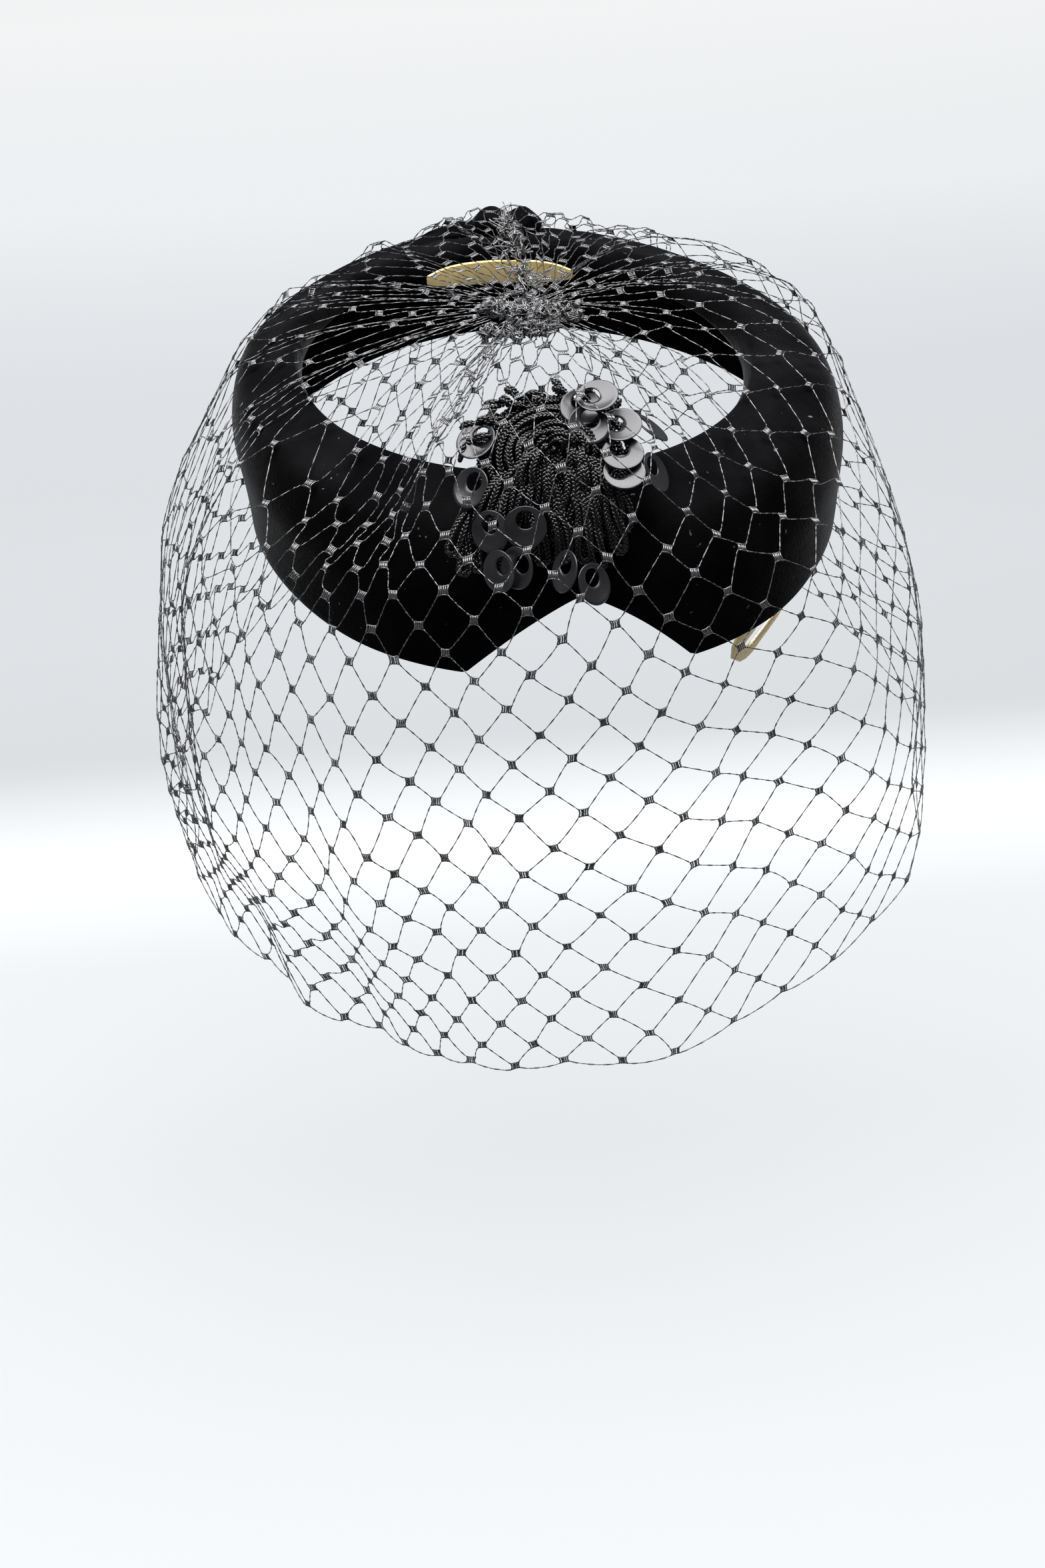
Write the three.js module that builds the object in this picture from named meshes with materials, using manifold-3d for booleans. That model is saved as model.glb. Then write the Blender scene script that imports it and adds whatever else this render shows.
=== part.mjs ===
// An open-crowned velvet ring hat with a heart-shaped front, a trim of looped cord and
// paillettes, a velvet knot at the back, two plastic hair grips and a birdcage veil.
//
// Millimetres. +Z is up as the hat is worn, -Y is its front, +X is the right as seen from
// the front. The origin is the middle of the ring, level with its crest.

import * as THREE from "three";
import { mergeVertices } from "three/addons/utils/BufferGeometryUtils.js";
import Module from "manifold-3d";

// ---------------------------------------------------------------- driving dimensions

const GAP = 0.4; // running gap between neighbouring pieces
const RING_TILT = 7; // degrees; the front of the ring is worn lower than its back

// The ring is a band between two ovals: the opening in its crown and its widest line.
const OPENING = { halfWidth: 69.5, halfLength: 82.5, x: -4.5, y: -1.5 };
const OUTSIDE = { halfWidth: 97, halfLength: 108, x: 0, y: 0 };
const RING_WALL = 2.5; // velvet over a stiffened foundation
const LIP_DEPTH = 7; // how far the velvet turns down inside the opening
const RING_SEGMENTS = 84;
const RING_STEPS = 9; // steps along one face of the band's section

// Levels of the band below the crest, by the turn from centre front in degrees.
const BAND = [
  { turn: 0, crest: -1, shoulder: -13.6, widest: -30, foot: -58, tuck: 3 },
  { turn: 40, crest: -1, shoulder: -12.4, widest: -28, foot: -58, tuck: 3 },
  { turn: 65, crest: -1, shoulder: -10, widest: -24, foot: -54, tuck: 3 },
  { turn: 90, crest: 0, shoulder: -8.5, widest: -21, foot: -50, tuck: 3 },
  { turn: 130, crest: 1, shoulder: -5.5, widest: -15, foot: -42, tuck: 2 },
  { turn: 180, crest: 2, shoulder: -1, widest: -10, foot: -38, tuck: 2 },
];
// The lower edge rises between two lobes to the point of the heart.
const NOTCH = { level: -30, lobeTurn: (5 * 360) / RING_SEGMENTS, sharpness: 1.3 };
const LOBE_SKEW = 1.5; // the wearer's right lobe hangs lower than the left one by twice this
const SIDE_LEAN = 1.5; // the lower edge sits this much towards +X

// The trim is a dome of looped cord lying over the front of the crest.
const TRIM = { x: -3, y: -90, z: -6, slope: 42, halfWidth: 31, halfLength: 35, rise: 19 };
const TRIM_SEGMENTS = 20;

// Round discs with a hole off their middle, hung on the trim. across and along are their
// places on the dome and above is how far they stand off it; lean tips the lower rim outward,
// swing turns the disc sideways and spin turns it about its own middle.
const PAILLETTE = { radius: 5.9, thickness: 0.5, hole: 2.85, holeShift: 2, segments: 7 };
const PAILLETTES = [
  { across: 9, along: -18.3, above: 5.4, lean: 3, swing: -21, spin: 64 },
  { across: 5.3, along: -17.8, above: 1.4, lean: -11, swing: -9, spin: -6 },
  { across: 6.7, along: -11.7, above: 1.9, lean: -12, swing: -10, spin: -10 },
  { across: 15.3, along: -11.3, above: 2.7, lean: 8, swing: -27, spin: 57 },
  { across: 24.5, along: -13.1, above: 1.3, lean: 16, swing: -2, spin: 46 },
  { across: 14.9, along: -2.8, above: 2.3, lean: 15, swing: -19, spin: 13 },
  { across: 14.6, along: 3, above: 2.8, lean: 20, swing: -19, spin: 60 },
  { across: 24.6, along: 0.6, above: 0.6, lean: 6, swing: 10, spin: 25 },
  { across: -23.8, along: -12.5, above: 1, lean: -6, swing: 14, spin: -59 },
  { across: -26.6, along: 1.1, above: 0.5, lean: 1, swing: 8, spin: -36 },
  { across: -22.4, along: 14.5, above: 0.4, lean: -2, swing: 1, spin: -6 },
  { across: -13.2, along: 15.5, above: 1.7, lean: -14, swing: 10, spin: -9 },
  { across: -14.8, along: 24.8, above: 3.2, lean: 13, swing: -22, spin: -61 },
  { across: -2.8, along: 27.1, above: 5.5, lean: 34, swing: -55, spin: -7 },
  { across: 3.5, along: 30.2, above: 4.1, lean: 33, swing: 29, spin: 3 },
  { across: -19, along: 24.2, above: 3.4, lean: 17, swing: -11, spin: -42 },
];

// The velvet knot at centre back is three soft lobes and a tail, worn over the crest.
const KNOT = [
  { x: -2, y: 101, z: 1.5, halfWidth: 7.5, halfDepth: 9, halfHeight: 6.5 },
  { x: 9, y: 101, z: 1.5, halfWidth: 6.5, halfDepth: 8, halfHeight: 6 },
  { x: 2, y: 95, z: 0, halfWidth: 12, halfDepth: 14, halfHeight: 5 },
  { x: -17, y: 99, z: -1, halfWidth: 13, halfDepth: 8, halfHeight: 4.5 },
];
const KNOT_SEGMENTS = 12;

// The veil hangs from its gather at the crown, over the ring, to a hem at the chin.
const VEIL_WALL = 1.2;
const VEIL_CLEAR = 1.6; // between the ring and the veil that lies on it
const VEIL_SEGMENTS = 48;
// Where the rings of its mesh lie, in knots of its path: closer together over the ring.
const VEIL_KNOTS = [1, 2, 2.5, 3, 3.5, 4, 4.5, 5, 5.5, 6, 6.5, 7, 8, 9, 10];
// Where it touches the band, along the band's section, and its share of the bulge there.
const VEIL_OVER = [
  { along: 0.29, bulge: 1 },
  { along: 0.43, bulge: 1 },
  { along: 0.57, bulge: 0.85 },
];
const GATHER = { x: -1, y: 4, z: 12, radius: 15, rise: 5 };
const TRIM_BULGE = { height: 29, turn: 28 }; // the veil stands off where it passes the trim
const KNOT_BULGE = { height: 10, turn: 18 }; // and the knot
const FALL = [
  { level: -20, left: 104, right: 101, front: 127, back: 111 },
  { level: -38, left: 114, right: 108, front: 130, back: 114 },
  { level: -60, left: 121, right: 116, front: 131, back: 116 },
  { level: -95, left: 126, right: 125, front: 130, back: 117 },
  { level: -130, left: 125, right: 129, front: 127, back: 115 },
  { level: -165, left: 120, right: 127, front: 122, back: 111 },
  { level: -200, left: 112, right: 119, front: 116, back: 106 },
];
const HEM = [
  { turn: 0, level: -196 },
  { turn: 50, level: -180 },
  { turn: 90, level: -155 },
  { turn: 130, level: -118 },
  { turn: 180, level: -92 },
];
const HEM_SKEW = 6; // the hem hangs lower on the wearer's right
const FALL_START = 13; // how far below the ring's shoulder the veil hangs free

// Grips: a bent strip under the lip at the back, and a hooked one below the right lobe.
const BACK_GRIP = { x: -3, halfLength: 25, height: 8, thickness: 1.4, top: -3 };
const SIDE_GRIP = { turn: 36, thickness: 1.2, clear: 0.4, sections: 26 };
// Its centre line, measured along the lower edge of the ring and above that edge.
const SIDE_GRIP_LINE = [
  { along: 9, above: 2, width: 4 },
  { along: 3.5, above: -3, width: 5 },
  { along: -1.5, above: -6, width: 5.5 },
  { along: -2, above: -10.5, width: 5.5 },
  { along: 3, above: -12, width: 4 },
  { along: 10, above: -9, width: 2.8 },
  { along: 18, above: -6, width: 2.7 },
  { along: 27, above: -2, width: 2.7 },
  { along: 42, above: 5, width: 2.7 },
];

// ---------------------------------------------------------------- small helpers

const DEG = Math.PI / 180;
const wasm = await Module();
wasm.setup();

const mix = THREE.MathUtils.lerp;

// Reads one column of a table at a value of its first column, along a smooth curve.
function read(table, key, at, column) {
  const last = table.length - 1;
  let i = 0;
  while (i < last - 1 && Math.abs(at) > Math.abs(table[i + 1][key])) i += 1;
  const slope = (k) => {
    const a = table[Math.max(k - 1, 0)];
    const b = table[Math.min(k + 1, last)];
    return k === 0 || k === last ? 0 : (b[column] - a[column]) / (b[key] - a[key]);
  };
  const [lo, hi] = [table[i], table[i + 1]];
  const span = hi[key] - lo[key];
  const t = THREE.MathUtils.clamp((at - lo[key]) / span, 0, 1);
  const bend = t * t * (3 - 2 * t);
  const start = t * (1 - t) * (1 - t) * span * slope(i);
  const end = t * t * (t - 1) * span * slope(i + 1);
  return mix(lo[column], hi[column], bend) + start + end;
}

// Six times the volume that the faces enclose, negative where they point inwards.
function signedVolume(positions, index) {
  const corner = (k) => new THREE.Vector3().fromArray(positions, 3 * index[k]);
  let sum = 0;
  for (let k = 0; k < index.length; k += 3) {
    sum += corner(k).dot(corner(k + 1).cross(corner(k + 2)));
  }
  return sum;
}

// Makes one closed body from rings of points, each ring as long as the next. The rings
// either close on each other, as round a torus, or end in one point at each end.
function loft(rings, { torus = false } = {}) {
  const size = rings.length;
  const around = Math.max(...rings.map((ring) => ring.length));
  const positions = [];
  const index = [];
  const start = rings.map((ring) => {
    const first = positions.length / 3;
    ring.forEach((p) => positions.push(p.x, p.y, p.z));
    return { first, single: ring.length === 1 };
  });
  const at = (i, j) => start[i].first + (start[i].single ? 0 : j % around);
  for (let i = 0; i < (torus ? size : size - 1); i += 1) {
    const next = (i + 1) % size;
    for (let j = 0; j < around; j += 1) {
      const [a, b, c, d] = [at(i, j), at(i, j + 1), at(next, j + 1), at(next, j)];
      if (a !== b) index.push(a, b, c);
      if (c !== d) index.push(a, c, d);
    }
  }
  if (signedVolume(positions, index) < 0) index.reverse();
  const geometry = new THREE.BufferGeometry();
  geometry.setAttribute("position", new THREE.Float32BufferAttribute(positions, 3));
  geometry.setIndex(index);
  return geometry;
}

function toSolid(geometry) {
  const bare = geometry.clone();
  bare.deleteAttribute("normal");
  bare.deleteAttribute("uv");
  const merged = mergeVertices(bare, 1e-4);
  return new wasm.Manifold(
    new wasm.Mesh({
      numProp: 3,
      vertProperties: new Float32Array(merged.attributes.position.array),
      triVerts: new Uint32Array(merged.index.array),
    }),
  );
}

function toGeometry(solid) {
  const mesh = solid.getMesh();
  const geometry = new THREE.BufferGeometry();
  geometry.setAttribute("position", new THREE.Float32BufferAttribute(mesh.vertProperties, 3));
  geometry.setIndex(new THREE.Uint32BufferAttribute(mesh.triVerts, 1));
  return geometry;
}

function finish(name, color, roughness, geometry, metalness = 0) {
  geometry.computeVertexNormals();
  const material = new THREE.MeshStandardMaterial({ color, roughness, metalness });
  const mesh = new THREE.Mesh(geometry, material);
  mesh.name = name;
  return mesh;
}

const velvet = (name, geometry) => finish(name, 0x0c0c0d, 0.95, geometry);
const cord = (name, geometry) => finish(name, 0x111113, 0.6, geometry);
const satinDisc = (name, geometry) => finish(name, 0x3a3c40, 0.35, geometry, 0.6);
const clearPlastic = (name, geometry) => finish(name, 0xd8c878, 0.3, geometry);
const net = (name, geometry) => finish(name, 0x1a1a1c, 0.8, geometry);

// ---------------------------------------------------------------- the ring

// Turn from centre front, in degrees, positive towards +X.
const turnOf = (phi) => Math.abs(((phi / DEG + 540) % 360) - 180);

function oval(shape, phi) {
  const x = shape.x + shape.halfWidth * Math.sin(phi);
  const y = shape.y - shape.halfLength * Math.cos(phi);
  return new THREE.Vector2(x, y);
}

// The level of the lower edge as it would run without the notch.
const plainFoot = (phi) => read(BAND, "turn", turnOf(phi), "foot") + LOBE_SKEW * Math.sin(phi);

// How low the band is cut at this turn: the plain lower edge, or the notch's side.
function footLevel(phi) {
  const turn = turnOf(phi);
  if (turn >= NOTCH.lobeTurn) return plainFoot(phi);
  const lobe = plainFoot(NOTCH.lobeTurn * DEG * Math.sign(Math.sin(phi)));
  return mix(NOTCH.level, lobe, (turn / NOTCH.lobeTurn) ** NOTCH.sharpness);
}

// The outer face of the band at one turn: a curve of (distance out, level) from the lip
// inside the opening, over the crest and shoulder, to the full depth of the wall.
function bandCurve(phi) {
  const turn = turnOf(phi);
  const level = (column) => read(BAND, "turn", turn, column);
  const width = oval(OUTSIDE, phi).distanceTo(oval(OPENING, phi));
  const [crest, shoulder, widest, foot, tuck] = [
    "crest", "shoulder", "widest", "foot", "tuck",
  ].map(level);
  const points = [
    [0, crest - LIP_DEPTH],
    [0.02 * width, crest - 0.43 * LIP_DEPTH],
    [0.14 * width, crest],
    [0.5 * width, 0.5 * crest + 0.45 * shoulder],
    [0.86 * width, shoulder],
    [width, widest],
    [width - 0.5 * tuck, 0.45 * widest + 0.55 * foot],
    [width - tuck, foot - 2 * LOBE_SKEW],
  ];
  return new THREE.SplineCurve(points.map(([out, z]) => new THREE.Vector2(out, z)));
}

// The fraction of the curve at which it comes down to the foot of the band.
function curveEnd(curve, level) {
  let [low, high] = [0.5, 1];
  for (let step = 0; step < 24; step += 1) {
    const middle = (low + high) / 2;
    if (curve.getPoint(middle).y > level) low = middle;
    else high = middle;
  }
  return low;
}

// A point of the band's outer face, moved out by offset along the section's own normal.
function bandPoint(phi, curve, t, offset) {
  const p = curve.getPoint(t);
  const along = curve.getTangent(t);
  p.x += offset * -along.y;
  p.y += offset * along.x;
  const inner = oval(OPENING, phi);
  const out = oval(OUTSIDE, phi).sub(inner).normalize();
  const lean = SIDE_LEAN * THREE.MathUtils.smoothstep(-p.y, 15, 50);
  return new THREE.Vector3(inner.x + out.x * p.x + lean, inner.y + out.y * p.x, p.y);
}

function bandFace(phi, offset, foot = footLevel) {
  const curve = bandCurve(phi);
  const end = curveEnd(curve, foot(phi));
  const steps = [...Array(RING_STEPS + 1).keys()];
  return steps.map((k) => bandPoint(phi, curve, (end * k) / RING_STEPS, offset));
}

const ringTurns = [...Array(RING_SEGMENTS).keys()].map((i) => (i * 2 * Math.PI) / RING_SEGMENTS);

function ringGeometry() {
  const sections = ringTurns.map((phi) => {
    const outer = bandFace(phi, 0);
    const inner = bandFace(phi, -RING_WALL).reverse();
    return [...outer, ...inner];
  });
  return loft(sections, { torus: true });
}

// All that lies within the band and under its crest, down to the given lower edge, grown
// by the running gap.
function filledTo(foot) {
  const faces = ringTurns.map((phi) => bandFace(phi, GAP, foot).slice(2));
  const rings = faces[0].map((_, k) => faces.map((face) => face[k]));
  rings.push(rings[rings.length - 1].map((p) => new THREE.Vector3(p.x, p.y, p.z - GAP)));
  const pole = (ring) => [new THREE.Vector3(0, 0, ring[0].z)];
  return toSolid(loft([pole(rings[0]), ...rings, pole(rings[rings.length - 1])]));
}

// What the trim and the knot are cut back by, so that they lie on the velvet. Before the
// notch it is cut as if the band ran on, so that the trim does not reach through.
const ringFilled = () => filledTo(footLevel).add(filledTo(plainFoot));

// ---------------------------------------------------------------- trim, knot and grips

const trimFrame = new THREE.Matrix4()
  .makeTranslation(TRIM.x, TRIM.y, TRIM.z)
  .multiply(new THREE.Matrix4().makeRotationX(TRIM.slope * DEG));

// The dome's skin in its own frame: +X across, -Y down its length, +Z out.
function domeHeight(across, along) {
  const inside = 1 - (across / TRIM.halfWidth) ** 2 - (along / TRIM.halfLength) ** 2;
  return TRIM.rise * Math.sqrt(Math.max(inside, 0));
}

function ellipsoid(segments, halfWidth, halfDepth, halfHeight) {
  const ball = new THREE.SphereGeometry(1, segments, Math.round(segments * 0.7));
  return ball.scale(halfWidth, halfDepth, halfHeight);
}

function trimGeometry(filled) {
  const dome = ellipsoid(TRIM_SEGMENTS, TRIM.halfWidth, TRIM.halfLength, TRIM.rise);
  dome.applyMatrix4(trimFrame);
  return toGeometry(largest(toSolid(dome).subtract(filled)));
}

function largest(solid) {
  const parts = solid.decompose();
  return parts.reduce((best, part) => (part.volume() > best.volume() ? part : best));
}

function knotGeometry(filled) {
  const lobes = KNOT.map((lobe) => {
    const ball = ellipsoid(KNOT_SEGMENTS, lobe.halfWidth, lobe.halfDepth, lobe.halfHeight);
    return toSolid(ball.translate(lobe.x, lobe.y, lobe.z));
  });
  const joined = lobes.reduce((sum, lobe) => sum.add(lobe));
  return toGeometry(largest(joined.subtract(filled)));
}

function paillette(row, number) {
  const { radius, thickness, hole, holeShift, segments } = PAILLETTE;
  const outline = new THREE.Shape().absarc(0, 0, radius, 0, 2 * Math.PI);
  outline.holes.push(new THREE.Path().absarc(0, holeShift, hole, 0, 2 * Math.PI, true));
  const options = { depth: thickness, bevelEnabled: false, curveSegments: segments };
  const disc = new THREE.ExtrudeGeometry(outline, options).rotateZ(row.spin * DEG);
  const mesh = satinDisc(`paillette_${String(number + 1).padStart(2, "0")}`, disc);
  const place = new THREE.Vector3(row.across, -row.along, domeHeight(row.across, row.along));
  const size = new THREE.Vector3(TRIM.halfWidth, TRIM.halfLength, TRIM.rise);
  const normal = place.clone().divide(size).divide(size).normalize();
  place.addScaledVector(normal, row.above);
  const face = new THREE.Quaternion().setFromUnitVectors(new THREE.Vector3(0, 0, 1), normal);
  const tip = new THREE.Quaternion().setFromEuler(
    new THREE.Euler(-row.lean * DEG, row.swing * DEG, 0),
  );
  mesh.position.copy(place);
  mesh.quaternion.copy(face).multiply(tip);
  return mesh;
}

// A strip that follows the lip of the opening at the back, standing just inside it.
function backGripGeometry() {
  const { x, halfLength, height, thickness, top } = BACK_GRIP;
  const reach = OPENING.halfWidth;
  const inside = { ...OPENING, halfWidth: reach - GAP, halfLength: OPENING.halfLength - GAP };
  const start = Math.asin((x - halfLength - OPENING.x) / reach);
  const end = Math.asin((x + halfLength - OPENING.x) / reach);
  const steps = 12;
  const sections = [...Array(steps + 1).keys()].map((k) => {
    const phi = Math.PI - mix(start, end, k / steps);
    const outer = oval(inside, phi);
    const inner = oval({ ...inside, halfLength: inside.halfLength - thickness }, phi);
    const edge = Math.abs((2 * k) / steps - 1) ** 4;
    const [high, low] = [top - 2.5 * edge, top - height + 2.5 * edge];
    return [
      new THREE.Vector3(outer.x, outer.y, high),
      new THREE.Vector3(outer.x, outer.y, low),
      new THREE.Vector3(inner.x, inner.y, low),
      new THREE.Vector3(inner.x, inner.y, high),
    ];
  });
  return capped(sections);
}

// Closes a run of like outlines with a flat face at each end.
function capped(sections) {
  const middle = (ring) => {
    const sum = ring.reduce((total, p) => total.add(p), new THREE.Vector3());
    return [sum.divideScalar(ring.length)];
  };
  return loft([middle(sections[0]), ...sections, middle(sections[sections.length - 1])]);
}

// A flat strip bent in a hook, lying against the inside of the wall and showing below it.
function sideGripGeometry() {
  const { turn, thickness, clear, sections } = SIDE_GRIP;
  const asPoint = (row) => new THREE.Vector3(row.along, row.above, row.width);
  const line = new THREE.CatmullRomCurve3(SIDE_GRIP_LINE.map(asPoint));
  const onWall = (along, above, depth) => {
    const reach = (OUTSIDE.halfWidth + OUTSIDE.halfLength) / 2;
    const phi = turn * DEG + along / reach;
    const foot = footLevel(phi);
    const level = (column) => read(BAND, "turn", turnOf(phi), column);
    const slope = level("tuck") / (level("widest") - level("foot"));
    const inner = oval(OPENING, phi);
    const outward = oval(OUTSIDE, phi).sub(inner);
    const width = outward.length() - level("tuck") + above * slope - RING_WALL - clear - depth;
    outward.setLength(width);
    return new THREE.Vector3(inner.x + outward.x + SIDE_LEAN, inner.y + outward.y, foot + above);
  };
  const outlines = [...Array(sections + 1).keys()].map((k) => {
    const p = line.getPointAt(k / sections);
    const tangent = line.getTangentAt(k / sections);
    const half = p.z / 2;
    const across = new THREE.Vector2(-tangent.y, tangent.x).setLength(half);
    return [
      onWall(p.x + across.x, p.y + across.y, 0),
      onWall(p.x - across.x, p.y - across.y, 0),
      onWall(p.x - across.x, p.y - across.y, thickness),
      onWall(p.x + across.x, p.y + across.y, thickness),
    ];
  });
  return capped(outlines);
}

// ---------------------------------------------------------------- the veil

const tilted = new THREE.Matrix4().makeRotationX(RING_TILT * DEG);

const hump = ({ height, turn }, from) => height * Math.exp(-((from / turn) ** 2));

// The net's path at one turn: out from the gather, over the ring, then down to the hem.
function veilCurve(phi) {
  const turn = turnOf(phi);
  const gather = new THREE.Vector3(GATHER.x, GATHER.y, GATHER.z);
  const curve = bandCurve(phi);
  const stand = hump(TRIM_BULGE, turn) + hump(KNOT_BULGE, 180 - turn);
  const over = VEIL_OVER.map(({ along, bulge }) => {
    return bandPoint(phi, curve, along, VEIL_CLEAR + bulge * stand).applyMatrix4(tilted);
  });
  const spread = [0.35, 0.7].map((t) => {
    const p = gather.clone().lerp(over[0], t);
    p.z += 2 * Math.sin(Math.PI * t) + 0.3 * t * stand;
    return p;
  });
  const hem = read(HEM, "turn", turn, "level") + HEM_SKEW * Math.sin(phi);
  const top = over[over.length - 1].z - FALL_START;
  const fall = [0, 0.15, 0.35, 0.65, 1].map((t) => {
    const level = mix(top, hem, t);
    const reach = (side) => read(FALL, "level", level, side);
    const wide = Math.sin(phi) < 0 ? reach("left") : reach("right");
    const long = Math.cos(phi) > 0 ? reach("front") : reach("back");
    return new THREE.Vector3(wide * Math.sin(phi), -long * Math.cos(phi), level);
  });
  return new THREE.CatmullRomCurve3([gather, ...spread, ...over, ...fall], false, "centripetal");
}

function veilGeometry() {
  const turns = [...Array(VEIL_SEGMENTS).keys()].map((i) => (i * 2 * Math.PI) / VEIL_SEGMENTS);
  const inner = [];
  const outer = [];
  turns.forEach((phi) => {
    const curve = veilCurve(phi);
    const side = new THREE.Vector3(Math.cos(phi), Math.sin(phi), 0);
    VEIL_KNOTS.forEach((knot, k) => {
      const t = knot / (curve.points.length - 1);
      const p = curve.getPoint(t);
      const normal = side.clone().cross(curve.getTangent(t)).negate().normalize();
      const away = Math.hypot(p.x - GATHER.x, p.y - GATHER.y) / GATHER.radius;
      const boss = GATHER.rise * Math.max(0, 1 - away * away);
      (inner[k] ??= []).push(p);
      (outer[k] ??= []).push(p.clone().addScaledVector(normal, VEIL_WALL + boss));
    });
  });
  const crown = (z) => [new THREE.Vector3(GATHER.x, GATHER.y, z)];
  const rings = [crown(GATHER.z), ...inner, ...outer.reverse()];
  rings.push(crown(GATHER.z + VEIL_WALL + GATHER.rise));
  return loft(rings);
}

// ---------------------------------------------------------------- the hat

const hat = new THREE.Group();
const ring = new THREE.Group();
ring.rotation.x = RING_TILT * DEG;
hat.add(ring);

const filled = ringFilled();
ring.add(velvet("velvet_ring", ringGeometry()));
ring.add(velvet("back_knot", knotGeometry(filled)));
ring.add(cord("cord_pompom", trimGeometry(filled)));

const trim = new THREE.Group();
trim.applyMatrix4(trimFrame);
ring.add(trim);
PAILLETTES.forEach((row, number) => trim.add(paillette(row, number)));

ring.add(clearPlastic("back_grip", backGripGeometry()));
ring.add(clearPlastic("side_grip", sideGripGeometry()));
hat.add(net("veil", veilGeometry()));

export default hat;
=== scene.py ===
"""The looks of a velvet ring hat: its velvet, looped cord, paillettes, grips and birdcage veil."""

import math

import bmesh
import bpy
import numpy as np
from mathutils import Matrix, Vector


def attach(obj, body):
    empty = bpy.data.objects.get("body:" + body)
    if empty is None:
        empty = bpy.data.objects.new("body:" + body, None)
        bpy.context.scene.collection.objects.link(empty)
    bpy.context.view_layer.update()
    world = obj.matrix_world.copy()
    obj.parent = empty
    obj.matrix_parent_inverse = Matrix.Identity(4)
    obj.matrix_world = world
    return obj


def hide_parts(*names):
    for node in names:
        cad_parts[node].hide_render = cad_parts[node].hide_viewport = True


bl_info = {
    "name": "Velvet ring hat",
    "version": (1, 0, 0),
    "blender": (4, 5, 0),
    "location": "3D View > Sidebar > Hat",
    "description": "Dresses a ring hat in velvet, looped cord, paillettes and a birdcage veil",
    "category": "Add Mesh",
}

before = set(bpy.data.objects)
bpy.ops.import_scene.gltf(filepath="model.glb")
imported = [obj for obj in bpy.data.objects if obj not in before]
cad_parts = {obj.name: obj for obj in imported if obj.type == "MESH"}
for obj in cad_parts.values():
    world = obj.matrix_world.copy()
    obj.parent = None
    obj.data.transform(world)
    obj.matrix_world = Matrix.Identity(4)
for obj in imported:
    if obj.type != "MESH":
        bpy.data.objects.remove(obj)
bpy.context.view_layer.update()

# ------------------------------------------------------------------ sizes, in millimetres

MM = 0.001
BODY = "root"
RING_TILT = math.radians(7)

OPENING = {"half_width": 69.5, "half_length": 82.5, "x": -4.5, "y": -1.5}
OUTSIDE = {"half_width": 97, "half_length": 108, "x": 0, "y": 0}
RING_WALL = 2.5
LIP_DEPTH = 7
LOBE_TURN = 5 * 360 / 84
NOTCH_LEVEL = -30
NOTCH_SHARPNESS = 1.3
LOBE_SKEW = 1.5
SIDE_LEAN = 1.5

# Levels of the band below the crest, by the turn from centre front in degrees.
BAND = {
    "turn": [0, 40, 65, 90, 130, 180],
    "crest": [-1, -1, -1, 0, 1, 2],
    "shoulder": [-13.6, -12.4, -10, -8.5, -5.5, -1],
    "widest": [-30, -28, -24, -21, -15, -10],
    "foot": [-58, -58, -54, -50, -42, -38],
    "tuck": [3, 3, 3, 3, 2, 2],
}

# The trim's dome in the ring's own frame, and the crown of its loops in the dome's frame.
TRIM = {"x": -3, "y": -90, "z": -6, "half_width": 31, "half_length": 35, "rise": 19}
TRIM_SLOPE = math.radians(42)
TRIM_CROWN = (-4.0, 9.0)
LOOP_SINK = 6

# The gather of the veil, its reach from the middle at each level below the crest, and its hem.
GATHER = (-1, 4, 12)
FALL = {
    "level": [-20, -38, -60, -95, -130, -165, -200],
    "left": [104, 114, 121, 126, 125, 120, 112],
    "right": [101, 108, 116, 125, 129, 127, 119],
    "front": [127, 130, 131, 130, 127, 122, 116],
    "back": [111, 114, 116, 117, 115, 111, 106],
}
HEM = {"turn": [0, 50, 90, 130, 180], "level": [-196, -180, -155, -118, -92]}
HEM_SKEW = 6


# ------------------------------------------------------------------ curves

def read(table, column, at):
    """A column of a table at values of its first column, along a smooth curve."""
    keys = np.array(table[next(iter(table))], float)
    values = np.array(table[column], float)
    order = np.argsort(keys)
    keys, values = keys[order], values[order]
    slopes = np.zeros_like(values)
    slopes[1:-1] = (values[2:] - values[:-2]) / (keys[2:] - keys[:-2])
    at = np.clip(at, keys[0], keys[-1])
    i = np.clip(np.searchsorted(keys, at, side="right") - 1, 0, len(keys) - 2)
    span = keys[i + 1] - keys[i]
    t = (at - keys[i]) / span
    ease = t * t * (3 - 2 * t)
    start = t * (1 - t) ** 2 * span * slopes[i]
    end = t * t * (t - 1) * span * slopes[i + 1]
    return values[i] * (1 - ease) + values[i + 1] * ease + start + end


def spline(points, t):
    """A curve through points (..., n, d) at t (..., k), each from 0 to 1."""
    count = points.shape[-2]
    place = np.asarray(t, float) * (count - 1)
    i = np.clip(np.floor(place).astype(int), 0, count - 2)
    w = (place - i)[..., None]
    shape = np.broadcast_shapes(points.shape[:-2] + (1,), i.shape)
    i = np.broadcast_to(i, shape)
    points = np.broadcast_to(points, shape[:-1] + points.shape[-2:])
    near = [np.clip(i + k, 0, count - 1)[..., None] for k in (-1, 0, 1, 2)]
    p0, p1, p2, p3 = (np.take_along_axis(points, k, axis=-2) for k in near)
    v0 = (p2 - p0) / 2
    v1 = (p3 - p1) / 2
    return ((2 * p1 - 2 * p2 + v0 + v1) * w ** 3 + (-3 * p1 + 3 * p2 - 2 * v0 - v1) * w ** 2
            + v0 * w + p1)


def unit(v):
    """Vectors scaled to length one."""
    return v / np.maximum(np.linalg.norm(v, axis=-1, keepdims=True), 1e-9)


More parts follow.
